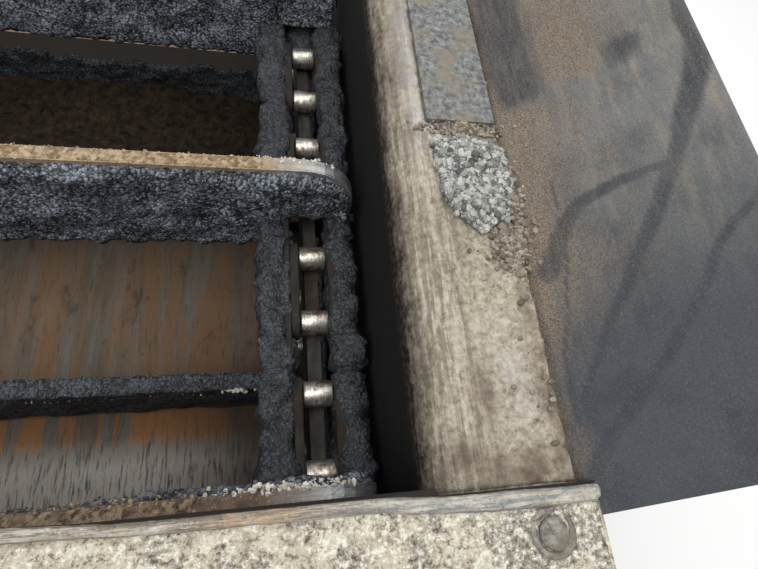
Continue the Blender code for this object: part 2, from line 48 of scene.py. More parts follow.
# where the trough's own pieces lie, read from the frame
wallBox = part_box("side_plate_right")
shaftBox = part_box("tail_shaft")
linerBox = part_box("floor_liner")
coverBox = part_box("foot_cover")
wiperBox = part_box("cover_wiper")
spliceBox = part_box("splice_plate_right")
wallX = wallBox[0].x
creaseX = wallBox[1].x
flangeZ = wallBox[1].z
jointY = wallBox[1].y
shaftY = (shaftBox[0].y + shaftBox[1].y) / 2
shaftZ = (shaftBox[0].z + shaftBox[1].z) / 2

# camera, stage and light
cameraView = {
    "place": (0.28475, -0.18786, 0.84139),
    "right": (0.97490873, -0.09245454, 0.20249722),
    "up": (0.00288268, 0.91483796, 0.40381085),
    "lens": 23.98,
    "nearest": 0.02,
}
light = {
    "sky": (0.93, 0.96, 1.0),
    "skyStrength": 0.62,
    "background": (1.0, 1.0, 1.0),
    "floorColour": (0.80, 0.79, 0.77),
    "floorSize": 12.0,
    "lamps": [
        # place, what it points at, width, watts
        ((-1.1, -0.9, 2.6), (0.1, 0.0, 0.3), 1.6, 46),
        ((1.5, 1.6, 2.8), (0.2, 0.0, 0.3), 2.0, 40),
        ((0.3, 0.1, 2.9), (0.3, 0.0, 0.2), 1.2, 22),
    ],
}


def makeCamera(look):
    camera = bpy.data.objects.new("camera", bpy.data.cameras.new("camera"))
    right, up = Vector(look["right"]), Vector(look["up"])
    back = right.cross(up)
    turn = Matrix((right, up, back)).transposed().to_4x4()
    camera.matrix_world = Matrix.Translation(look["place"]) @ turn
    camera.data.lens = look["lens"]
    camera.data.clip_start = look["nearest"]
    scene.collection.objects.link(camera)
    scene.camera = camera


def makeStage(look):
    half = look["floorSize"] / 2
    mesh = bpy.data.meshes.new("floor")
    mesh.from_pydata([(-half, -half, 0), (half, -half, 0), (half, half, 0), (-half, half, 0)], [], [(0, 1, 2, 3)])
    floor = bpy.data.objects.new("floor", mesh)
    scene.collection.objects.link(floor)
    paint = bpy.data.materials.new("floorPaint")
    paint.use_nodes = True
    shader = paint.node_tree.nodes["Principled BSDF"]
    shader.inputs["Base Color"].default_value = (*look["floorColour"], 1)
    shader.inputs["Roughness"].default_value = 0.9
    mesh.materials.append(paint)

    world = bpy.data.worlds.new("sky")
    scene.world = world
    world.use_nodes = True
    tree = world.node_tree
    sky = tree.nodes["Background"]
    sky.inputs["Color"].default_value = (*look["sky"], 1)
    sky.inputs["Strength"].default_value = look["skyStrength"]
    seen = tree.nodes.new("ShaderNodeBackground")
    seen.inputs["Color"].default_value = (*look["background"], 1)
    seen.inputs["Strength"].default_value = 1
    path = tree.nodes.new("ShaderNodeLightPath")
    mix = tree.nodes.new("ShaderNodeMixShader")
    tree.links.new(path.outputs["Is Camera Ray"], mix.inputs[0])
    tree.links.new(sky.outputs[0], mix.inputs[1])
    tree.links.new(seen.outputs[0], mix.inputs[2])
    tree.links.new(mix.outputs[0], tree.nodes["World Output"].inputs["Surface"])

    for number, (place, target, width, watts) in enumerate(look["lamps"]):
        data = bpy.data.lights.new(f"lamp{number}", "AREA")
        data.energy = watts
        data.size = width
        lamp = bpy.data.objects.new(f"lamp{number}", data)
        lamp.location = place
        lamp.rotation_euler = (Vector(target) - Vector(place)).to_track_quat("-Z", "Y").to_euler()
        scene.collection.objects.link(lamp)


scene.view_settings.view_transform = "Standard"
makeCamera(cameraView)
makeStage(light)
print("camera and light ready")

# noise for the lumps and crusts, the same each run
latticeMix = {"x": 73856093, "y": 19349663, "z": 83492791, "seed": 2654435761, "stir": 1274126177, "mask": 0xFFFFFFFF}


def latticeValue(cells, seed):
    mix = latticeMix
    mixed = cells[..., 0] * mix["x"] ^ cells[..., 1] * mix["y"] ^ cells[..., 2] * mix["z"]
    mixed = (mixed ^ (seed + 1) * mix["seed"]) & mix["mask"]
    for shift in (15, 13, 16):
        mixed = ((mixed ^ (mixed >> shift)) * mix["stir"]) & mix["mask"]
    return mixed / mix["mask"]


def softNoise(points, size, seed=0):  # smooth, from -1 to 1
    scaled = np.asarray(points, float) / size
    cells = np.floor(scaled).astype(np.int64)
    part = scaled - cells
    part = part * part * (3 - 2 * part)
    total = 0
    for corner in np.ndindex(2, 2, 2):
        weight = np.prod(np.where(np.array(corner) == 1, part, 1 - part), axis=-1)
        total = total + weight * latticeValue(cells + np.array(corner), seed)
    return total * 2 - 1


def layeredNoise(points, size, seed=0, layers=4, keep=0.5):
    total, height = 0, 1
    for layer in range(layers):
        total = total + height * softNoise(points, size / 2 ** layer, seed + layer)
        height *= keep
    return total


def grainNoise(points, size, seed=0):  # 1 in the middle of a grain down to 0, and the grain's own number
    scaled = np.asarray(points, float) / size
    cells = np.floor(scaled).astype(np.int64)
    nearest = np.full(scaled.shape[:-1], 9.0)
    own = np.zeros(scaled.shape[:-1])
    for step in np.ndindex(3, 3, 3):
        cell = cells + np.array(step) - 1
        spot = cell + np.stack([latticeValue(cell, seed + axis) for axis in range(3)], axis=-1)
        away = np.linalg.norm(scaled - spot, axis=-1)
        closer = away < nearest
        nearest = np.where(closer, away, nearest)
        own = np.where(closer, latticeValue(cell, seed + 3), own)
    return np.clip(1 - nearest, 0, 1), own


def fade(value, low, high):  # 0 below low, 1 above high, smooth between
    share = np.clip((np.asarray(value, float) - low) / (high - low), 0, 1)
    return share * share * (3 - 2 * share)


def nearCurve(points, curve):  # distance from each 2D point to a line through a few points, and the share along it
    curve = np.array(curve, float)
    best = np.full(points.shape[:-1], 9.0)
    along = np.zeros(points.shape[:-1])
    for number, (start, end) in enumerate(zip(curve, curve[1:])):
        way = end - start
        share = np.clip(((points - start) @ way) / (way @ way), 0, 1)
        away = np.linalg.norm(points - start - share[..., None] * way, axis=-1)
        closer = away < best
        best = np.where(closer, away, best)
        along = np.where(closer, (number + share) / (len(curve) - 1), along)
    return best, along


# meshes from grids of points
def newPiece(name, points, faces, look, body="section", slot=None, smooth=True):
    mesh = bpy.data.meshes.new(name)
    mesh.from_pydata(np.asarray(points, float).reshape(-1, 3).tolist(), [], faces)
    mesh.validate()
    if smooth:
        mesh.shade_smooth()
    mesh.materials.append(look)
    piece = bpy.data.objects.new(name, mesh)
    scene.collection.objects.link(piece)
    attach(piece, body)
    return piece


def gridQuads(rows, columns, first=0, closed=False):
    high = columns if closed else columns - 1
    row, column = np.meshgrid(np.arange(rows - 1), np.arange(high), indexing="ij")
    nextColumn = (column + 1) % columns
    corners = [row * columns + column, row * columns + nextColumn,
               (row + 1) * columns + nextColumn, (row + 1) * columns + column]
    return (np.stack(corners, axis=-1).reshape(-1, 4) + first).tolist()


def flipped(faces):
    return [face[::-1] for face in faces]


def tubeFaces(rings, around, first=0):  # rings of points closed round, with an end face on each end
    start = [first + step for step in range(around)]
    end = [first + (rings - 1) * around + step for step in range(around)]
    return gridQuads(rings, around, first, closed=True) + [start[::-1], end]


def shellFaces(rows, columns, first=0):  # a grid, closed below by strips and end faces
    faces = gridQuads(rows, columns, first)
    left = [first + row * columns for row in range(rows)]
    right = [first + row * columns + columns - 1 for row in range(rows)]
    for row in range(rows - 1):
        faces.append([left[row], left[row + 1], right[row + 1], right[row]])
    faces.append([first + column for column in range(columns)][::-1])
    faces.append([first + (rows - 1) * columns + column for column in range(columns)])
    return faces


def facing(points, faces, centre):  # turns all faces if they point towards the centre
    points = np.asarray(points, float).reshape(-1, 3)
    volume = 0.0
    for face in faces[::7]:
        a, b, c = points[face[0]], points[face[1]], points[face[2]]
        volume += np.dot(np.cross(b - a, c - a), a - centre)
    return faces if volume > 0 else flipped(faces)


def addMask(piece, name, values):
    layer = piece.data.attributes.new(name, "FLOAT", "POINT")
    layer.data.foreach_set("value", np.asarray(values, np.float32).ravel())


# materials
def addNode(tree, kind, inputs=None, **settings):
    node = tree.nodes.new("ShaderNode" + kind)
    for key, value in settings.items():
        setattr(node, key, value)
    for key, value in (inputs or {}).items():
        feed(tree, node.inputs[key], value)
    return node


def feed(tree, socket, value):
    if isinstance(value, bpy.types.NodeSocket):
        tree.links.new(value, socket)
    elif socket.type == "RGBA" and len(value) == 3:
        socket.default_value = (*value, 1)
    else:
        socket.default_value = value


def newLook(name, metallic=0.0, roughness=0.6, specular=0.5):
    look = bpy.data.materials.new(name)
    look.use_nodes = True
    shader = look.node_tree.nodes["Principled BSDF"]
    shader.inputs["Metallic"].default_value = metallic
    shader.inputs["Roughness"].default_value = roughness
    shader.inputs["Specular IOR Level"].default_value = specular
    return look, look.node_tree, shader


def placeOf(tree, stretch=(1, 1, 1)):
    where = addNode(tree, "TexCoord")
    mapping = addNode(tree, "Mapping", {"Vector": where.outputs["Object"], "Scale": stretch})
    return mapping.outputs[0]


def axesOf(tree):
    where = addNode(tree, "TexCoord")
    return addNode(tree, "SeparateXYZ", {0: where.outputs["Object"]}).outputs


def noiseOf(tree, grain, detail=4.0, rough=0.55, stretch=(1, 1, 1), warp=0.0):  # grain is its size in metres
    made = addNode(tree, "TexNoise", {"Vector": placeOf(tree, stretch), "Scale": 1 / grain, "Detail": detail,
                                      "Roughness": rough, "Distortion": warp})
    return made.outputs["Fac"]


def grainsOf(tree, grain, feature="F1", spread=1.0):
    made = addNode(tree, "TexVoronoi", {"Vector": placeOf(tree), "Scale": 1 / grain, "Randomness": spread},
                   feature=feature)
    return made.outputs["Distance"], (made.outputs["Color"] if feature == "F1" else None)


def rampOf(tree, value, stops):
    ramp = addNode(tree, "ValToRGB", {0: value})
    band = ramp.color_ramp
    while len(band.elements) < len(stops):
        band.elements.new(0.5)
    for element, (place, colour) in zip(band.elements, stops):
        element.position = place
        element.color = (*colour, 1) if hasattr(colour, "__len__") else (colour, colour, colour, 1)
    return ramp.outputs[0]


def mixOf(tree, share, under, over, way="MIX"):
    mix = addNode(tree, "Mix", {0: share, 6: under, 7: over}, data_type="RGBA", blend_type=way)
    return mix.outputs[2]


def sumOf(tree, first, second, kind="ADD"):
    return addNode(tree, "Math", {0: first, 1: second}, operation=kind).outputs[0]


def spanOf(tree, value, low, high, toLow=0.0, toHigh=1.0):
    made = addNode(tree, "MapRange", {0: value, 1: low, 2: high, 3: toLow, 4: toHigh})
    return made.outputs[0]


def maskOf(tree, name):
    return addNode(tree, "Attribute", attribute_name=name).outputs["Fac"]


def bumpOf(tree, height, depth, under=None, strength=1.0):
    inputs = {"Height": height, "Distance": depth, "Strength": strength}
    if under:
        inputs["Normal"] = under
    return addNode(tree, "Bump", inputs).outputs[0]


# caked asphalt
asphalt = {
    "dark": (0.018, 0.020, 0.025),
    "light": (0.300, 0.330, 0.375),
    "fleck": (0.36, 0.37, 0.38),
    "scraped": (0.075, 0.086, 0.102),
    "groove": (0.004, 0.004, 0.005),
    "grain": 0.0026,
    "fineGrain": 0.0011,
    "patch": 0.030,
}


def makeAsphaltLook(name, look, lightness):
    material, tree, shader = newLook(name, roughness=0.62, specular=0.45)
    distance, own = grainsOf(tree, look["grain"])
    fine, fineOwn = grainsOf(tree, look["fineGrain"])
    patch = noiseOf(tree, look["patch"], 6, 0.65)
    scraped = noiseOf(tree, look["patch"], 4, 0.6, (0.6, 1, 1))
    # a lightness below 1 gives a darker copy of the same asphalt: painted shade
    light = [channel * lightness for channel in look["light"]]
    dark = [channel * (1 + lightness) / 2 for channel in look["dark"]]
    share = sumOf(tree, own, spanOf(tree, patch, 0.3, 0.7, -0.32, 0.32))
    tone = mixOf(tree, spanOf(tree, share, 0.18, 0.92), dark, light)
    tone = mixOf(tree, spanOf(tree, fineOwn, 0.80, 0.90, 0, lightness), tone, look["fleck"])
    tone = mixOf(tree, spanOf(tree, scraped, 0.58, 0.66, 0, 0.7 * lightness), tone, look["scraped"])
    tone = mixOf(tree, spanOf(tree, distance, 0.42, 0.78, 0, 0.85), tone, look["groove"])
    feed(tree, shader.inputs["Base Color"], tone)
    rough = spanOf(tree, own, 0.0, 1.0, 0.42, 0.85)
    feed(tree, shader.inputs["Roughness"], rough)
    bump = bumpOf(tree, distance, -0.0012)
    feed(tree, shader.inputs["Normal"], bumpOf(tree, fine, -0.0006, bump))
    return material


asphaltLook = makeAsphaltLook("cakedAsphalt", asphalt, 1.0)
# darker copies of the caked asphalt: painted shade on the lower flights and on the chains deep in the trough
lowerShadedAsphaltLook = makeAsphaltLook("lowerAsphaltPaintedShade", asphalt, 0.36)
chainShadedAsphaltLook = makeAsphaltLook("chainAsphaltPaintedShade", asphalt, 0.17)

# steel of the flights
flightSteel = {
    "sand": (0.19, 0.12, 0.062),
    "paleSand": (0.34, 0.27, 0.18),
    "farEdge": (0.20, 0.14, 0.10),
    "farFace": (0.125, 0.110, 0.100),
    "farFrom": 0.40,
    "farTo": 0.45,
    "brown": (0.14, 0.095, 0.062),
    "darkBrown": (0.058, 0.036, 0.023),
    "brownUntil": -0.13,
    "sandFrom": -0.02,
    "pale": (0.62, 0.55, 0.44),
    "bare": (0.17, 0.19, 0.21),
    "shine": (0.52, 0.50, 0.47),
    "shineStart": 0.285,
    "shineEnd": 0.335,
}


def makeFlightLook(name, look):
    material, tree, shader = newLook(name, metallic=0.35)
    x, y, z = axesOf(tree)
    end = spanOf(tree, sumOf(tree, x, 0.0, "ABSOLUTE"), look["shineStart"], look["shineEnd"])
    mottle = noiseOf(tree, 0.009, 6, 0.7)
    specks = noiseOf(tree, 0.0022, 4, 0.7)
    sandy = mixOf(tree, spanOf(tree, mottle, 0.38, 0.62), look["sand"], look["paleSand"])
    brown = mixOf(tree, spanOf(tree, mottle, 0.36, 0.64), look["darkBrown"], look["brown"])
    upper = sumOf(tree, spanOf(tree, y, look["brownUntil"], look["sandFrom"]), spanOf(tree, z, shaftZ, shaftZ + 0.02),
                  "MULTIPLY")
    rusty = mixOf(tree, upper, brown, sandy)
    rusty = mixOf(tree, spanOf(tree, specks, 0.56, 0.72, 0, 0.45), rusty, look["pale"])
    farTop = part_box("flight_8")[1].z
    far = mixOf(tree, spanOf(tree, z, farTop - 0.0014, farTop - 0.0005), look["farFace"], look["farEdge"])
    far = mixOf(tree, spanOf(tree, mottle, 0.44, 0.62, 0, 0.6), far, look["brown"])
    rusty = mixOf(tree, spanOf(tree, y, look["farFrom"], look["farTo"]), rusty, far)
    scratch = noiseOf(tree, 0.02, 5, 0.7, (0.15, 4, 1))
    shine = mixOf(tree, spanOf(tree, scratch, 0.35, 0.7), look["bare"], look["shine"])
    feed(tree, shader.inputs["Base Color"], mixOf(tree, end, rusty, shine))
    feed(tree, shader.inputs["Roughness"], spanOf(tree, end, 0, 1, 0.85, 0.38))
    feed(tree, shader.inputs["Metallic"], spanOf(tree, end, 0, 1, 0.0, 0.75))
    feed(tree, shader.inputs["Normal"], bumpOf(tree, specks, 0.0006))
    return material


flightLook = makeFlightLook("flightSteel", flightSteel)


# flights with asphalt caked on both faces
flightCake = {
    "step": 0.0030,          # along the flight
    "faceRows": 34,
    "edgeRows": 6,
    "nearDepth": 0.0080,
    "farDepth": 0.0062,
    "edgeDepth": 0.0020,
    "lowerShare": 0.55,      # of that, on the lower strand
    "bareTop": 0.0050,
    "bareRoot": {8: 0.034},  # scraped clean on the near face, by the edge inside the chain's loop
    "thinFar": {3: (0.17, 0.25)},  # little on the far face up to here, all of it from there on
    "thinShare": 0.25,
    "sunk": 0.0012,
    "endInset": 0.004,
}


def flightShape(name):  # the plate's own frame, read from its mesh
    points = np.array([corner.co for corner in nodes[name].data.vertices])
    centre = (points.max(axis=0) + points.min(axis=0)) / 2
    flat = (points - centre)[:, 1:]
    values, ways = np.linalg.eigh(flat.T @ flat)
    normal, height = ways[:, 0], ways[:, 1]
    reach = np.abs(points[:, 0])
    corner = reach > reach.max() - 0.049
    if (flat[corner] @ height).mean() < (flat @ height).min() / 2 + (flat @ height).max() / 2:
        height = -height
    tall = flat @ height
    thick = flat @ normal
    inside = reach[tall < tall.min() + 0.001].max()
    rest = tall[reach > reach.max() - 0.001].min() - tall.min()
    middle = centre[1:] + height * (tall.max() + tall.min()) / 2 + normal * (thick.max() + thick.min()) / 2
    flatTop = reach[tall > tall.max() - 0.0005].max()
    return {"middle": middle, "normal": normal, "height": height, "tall": tall.max() - tall.min(),
            "thick": thick.max() - thick.min(), "inside": inside, "end": reach.max(), "rest": rest,
            "corner": reach.max() - flatTop}


def makeFlightCake(number, cake):
    name = f"flight_{number}"
    shape = flightShape(name)
    normal, height = shape["normal"], shape["height"]
    upper = height[1] > 0.3
    if normal[0] > 0:
        normal = -normal  # the near face looks back towards the tail
    share = 1.0 if upper else cake["lowerShare"]
    half = shape["thick"] / 2
    end = shape["end"] - cake["endInset"]
    columns = int(2 * end / cake["step"])
    x = np.linspace(-end, end, columns)
    low = np.where(np.abs(x) < shape["inside"], 0.0, shape["rest"])
    past = np.clip(np.abs(x) - (shape["end"] - shape["corner"]), 0, None)
    top = shape["tall"] - shape["corner"] + np.sqrt(np.clip(shape["corner"] ** 2 - past ** 2, 0, None))
    rows = cake["faceRows"]
    up = np.linspace(0, 1, rows)
    edge = (np.arange(cake["edgeRows"]) + 1) / (cake["edgeRows"] + 1)
    # round the plate: near face from top to bottom, low edge, far face, top edge
    side = np.concatenate([-np.ones(rows), edge * 2 - 1, np.ones(rows), 1 - edge * 2])
    tall = np.concatenate([1 - up, np.zeros(len(edge)), up, np.ones(len(edge))])
    part = np.concatenate([np.zeros(rows), np.ones(len(edge)), np.full(rows, 2.0), np.full(len(edge), 3.0)])
    level = low[:, None] + (top - low)[:, None] * tall[None, :]
    across = np.repeat((side * half)[None, :], columns, axis=0)
    spot = np.stack([np.repeat(x[:, None], len(side), axis=1), across, level], axis=-1)
    seed = number * 11
    lump = layeredNoise(spot, 0.045, seed, 3)
    mid = layeredNoise(spot, 0.012, seed + 20, 3)
    grain, own = grainNoise(spot, 0.0052, seed + 40)
    faceDepth = np.where(part == 0, cake["nearDepth"], cake["farDepth"])[None, :]
    if number in cake["thinFar"]:
        full = fade(np.abs(x), *cake["thinFar"][number])[:, None]
        faceDepth = faceDepth * np.where(part == 2, cake["thinShare"] + (1 - cake["thinShare"]) * full, 1.0)
    below = top[:, None] - level
    wander = layeredNoise(spot, 0.018, seed + 60, 3)
    ragged = cake["bareTop"] * (1 + 0.6 * wander)
    ramp = np.sqrt(fade(below, ragged, ragged + 0.010))
    root = cake["bareRoot"].get(number, 0)
    bareRoot = (part == 1)[None, :] | ((part == 0)[None, :] & (level - low[:, None] < root * (1 + 0.3 * wander)))
    depth = share * faceDepth * (1 + 0.42 * lump * fade(level, 0, 0.03)) + share * 0.0028 * mid + 0.0022 * (grain - 0.4)
    depth = np.where(np.isin(part, (0, 2))[None, :], depth * ramp, depth)
    depth = np.where((part == 1)[None, :], share * cake["edgeDepth"] + 0.002 * mid + 0.0018 * grain, depth)
    depth = np.maximum(depth, 0.0006)
    bare = (part == 3)[None, :] | (below < ragged)
    if root:
        bare = bare | bareRoot
    depth = np.where(bare, -cake["sunk"], depth)
    way = np.where(part == 1, 0.0, side)[None, :]
    down = np.where(part == 1, -1.0, np.where(part == 3, 1.0, 0.0))[None, :]
    sag = 0.35 * np.clip(1 - level / 0.012, 0, 1)
    spot[..., 1] += depth * way * 1.0
    spot[..., 2] += depth * down - sag * np.clip(depth, 0, None) * (part != 1)[None, :]
    flat = spot[..., 1][..., None] * (-normal)[None, None, :]
    tallWay = (spot[..., 2] - shape["tall"] / 2)[..., None] * height[None, None, :]
    world = np.concatenate([spot[..., :1], shape["middle"][None, None, :] + flat + tallWay], axis=-1)
    # side -1 is the near face, so the across axis runs away from it
    faces = tubeFaces(columns, len(side))
    centre = np.array([0, *shape["middle"]])
    newPiece(f"flight_cake_{number}", world, facing(world, faces, centre), asphaltLook if upper else lowerShadedAsphaltLook,
             slot="flight")
    return shape


flightShapes = {}
for number in range(1, 9):
    flightShapes[number] = makeFlightCake(number, flightCake)
    steel = nodes[f"flight_{number}"]
    steel.data.materials.clear()
    steel.data.materials.append(flightLook)
print("flights caked")

# roller chains
chainSizes = {
    "pitch": 0.06627,
    "teeth": 9,
    "phase": math.radians(1.2),
    "roller": 0.023,
    "rollerLength": 0.027,
    "plate": 0.0318,
    "inner": 0.0079,
    "outer": 0.0056,
    "pin": 0.0112,
    "pinPast": 0.0022,
    "edge": 0.0008,
    "gap": 0.0003,
    "sides": 28,
    "endSteps": 12,
}
chainX = (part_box("tail_sprocket_right")[0].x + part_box("tail_sprocket_right")[1].x) / 2
pitchRadius = chainSizes["pitch"] / 2 / math.sin(math.pi / chainSizes["teeth"])


def chainJoints(sizes):  # (y, z) of each roller, from the joint over the tail and back below
    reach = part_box("chain_right")[1].y - shaftY
    step = math.tau / sizes["teeth"]
    seated = []
    while sizes["phase"] + len(seated) * step < math.pi:
        turn = sizes["phase"] + len(seated) * step
        seated.append((-pitchRadius * math.sin(turn), pitchRadius * math.cos(turn)))

    def straight(start, level):
        first = start[0] + math.sqrt(sizes["pitch"] ** 2 - (level - start[1]) ** 2)
        count = int((reach - first) / sizes["pitch"]) + 1
        return [(first + sizes["pitch"] * number, level) for number in range(count)]

    line = straight(seated[0], pitchRadius)[::-1] + seated + straight(seated[-1], -pitchRadius)
    return [Vector((shaftY + y, shaftZ + z)) for y, z in line]


def lathe(profile, sides):  # (along, radius) pairs turned about the X axis
    turns = np.arange(sides) * math.tau / sides
    profile = np.array(profile)
    rings = np.stack([np.repeat(profile[:, :1], sides, axis=1), profile[:, 1:] * np.cos(turns),
                      profile[:, 1:] * np.sin(turns)], axis=-1)
    return rings.reshape(-1, 3), tubeFaces(len(profile), sides)


class Heap:  # points and faces of many small solids, for one mesh
    def __init__(self):
        self.points, self.faces, self.count = [], [], 0

    def add(self, points, faces, place=(0, 0, 0)):
        centre = np.asarray(points).mean(axis=0)
        faces = facing(points, faces, centre)
        self.points.append(np.asarray(points) + np.array(place))
        self.faces += [[corner + self.count for corner in face] for face in faces]
        self.count += len(points)

    def piece(self, name, look, **more):
        return newPiece(name, np.concatenate(self.points), self.faces, look, **more)


def plateRings(start, end, sizes, near, far):  # a link plate with round ends and eased edges
    along = (end - start).normalized()
    across = Vector((-along.y, along.x))
    radius = sizes["plate"] / 2

    def outline(size):
        points = []
        for centre, way in ((end, 1), (start, -1)):
            for number in range(sizes["endSteps"] + 1):
                turn = -math.pi / 2 + math.pi * number / sizes["endSteps"]
                points.append(centre + along * way * size * math.cos(turn) + across * way * size * math.sin(turn))
        return points

    rings = []
    for x, size in ((near, radius - sizes["edge"]), (near + sizes["edge"], radius),
                    (far - sizes["edge"], radius), (far, radius - sizes["edge"])):
        rings += [(x, point.x, point.y) for point in outline(size)]
    around = 2 * (sizes["endSteps"] + 1)
    return rings, tubeFaces(4, around)


def makeRollerLook():
    material, tree, shader = newLook("polishedRollers", metallic=0.9)
    ring = noiseOf(tree, 0.004, 4, 0.6, (3, 0.4, 0.4))
    stain = noiseOf(tree, 0.011, 5, 0.65)
    tone = mixOf(tree, spanOf(tree, ring, 0.35, 0.7), (0.32, 0.29, 0.24), (0.70, 0.67, 0.62))
    tone = mixOf(tree, spanOf(tree, stain, 0.50, 0.64, 0, 0.9), tone, (0.13, 0.068, 0.032))
    feed(tree, shader.inputs["Base Color"], tone)
    feed(tree, shader.inputs["Roughness"], spanOf(tree, stain, 0.3, 0.7, 0.24, 0.5))
    feed(tree, shader.inputs["Normal"], bumpOf(tree, ring, 0.0002))
    return material


def makeWornSteelLook(name, dark, light, rust, metallic=0.8, roughness=(0.36, 0.75), specular=0.5):
    material, tree, shader = newLook(name, metallic=metallic, specular=specular)
    scratch = noiseOf(tree, 0.006, 6, 0.7, (1, 0.25, 1))
    stain = noiseOf(tree, 0.03, 6, 0.65)
    tone = mixOf(tree, spanOf(tree, scratch, 0.3, 0.7), dark, light)
    tone = mixOf(tree, spanOf(tree, stain, 0.5, 0.66, 0, 0.9), tone, rust)
    feed(tree, shader.inputs["Base Color"], tone)
    feed(tree, shader.inputs["Roughness"], spanOf(tree, stain, 0.35, 0.65, *roughness))
    feed(tree, shader.inputs["Normal"], bumpOf(tree, noiseOf(tree, 0.0015, 4, 0.7), 0.0003))
    return material


rollerLook = makeRollerLook()
# near-black link plates: dirty steel, darkened further as painted shade between the rollers
chainSteelShadedLook = makeWornSteelLook("chainSteelAndShade", (0.008, 0.008, 0.008), (0.036, 0.032, 0.027), (0.040, 0.022, 0.012),
                                   0.0, (0.70, 0.95), 0.15)


def makeChain(label, side, joints, sizes):
    plates, rollers = Heap(), Heap()
    half = sizes["rollerLength"] / 2 - sizes["gap"]
    innerSide = sizes["rollerLength"] / 2 + sizes["inner"]
    outerSide = innerSide + sizes["outer"]
    radius, pin, ease = sizes["roller"] / 2, sizes["pin"] / 2, sizes["edge"]
    rollerProfile = [(-half, radius - ease * 2), (-half + ease, radius - ease / 2), (-half + ease * 2, radius),
                     (half - ease * 2, radius), (half - ease, radius - ease / 2), (half, radius - ease * 2)]
    reach = outerSide + sizes["pinPast"]
    pinProfile = [(-reach, pin - ease), (-reach + ease, pin), (reach - ease, pin), (reach, pin - ease)]
    for number, joint in enumerate(joints):
        place = (side * chainX, joint.x, joint.y)
        rollers.add(*lathe(rollerProfile, sizes["sides"]), place)
        plates.add(*lathe(pinProfile, sizes["sides"] // 2), place)
    for number, (start, end) in enumerate(zip(joints, joints[1:])):
        near, far = (innerSide, outerSide) if number % 2 else (sizes["rollerLength"] / 2, innerSide)
        for way in (-1, 1):
            low, high = sorted((way * (near + sizes["gap"] / 2), way * (far - sizes["gap"] / 2)))
            plates.add(*plateRings(start, end, sizes, low, high), (side * chainX, 0, 0))
    strand = plates.piece(f"chain_plates_{label}", chainSteelShadedLook, slot="chain", smooth=False)
    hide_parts(f"chain_{label}")
    turned = rollers.piece(f"chain_rollers_{label}", rollerLook, slot="chain")
    turned.data.set_sharp_from_angle(angle=math.radians(50))


# asphalt along the chain's side plates
chainCake = {
    "fineStep": 0.0026,
    "coarseStep": 0.0060,
    "around": 40,
    "rows": {
        # middle across the chain, half width, half height
        "trough": (-0.0338, 0.0170, 0.0198),
        "wall": (0.0280, 0.0142, 0.0200),
    },
    "square": 3.2,
    "lowerShare": 0.62,
    "lump": 0.0050,
    "scale": 0.0028,
    "grain": 0.0015,
    "crack": 0.0078,
    "crackWidth": 0.0026,
    "crackReach": 0.017,
    "endMargin": 0.006,
}


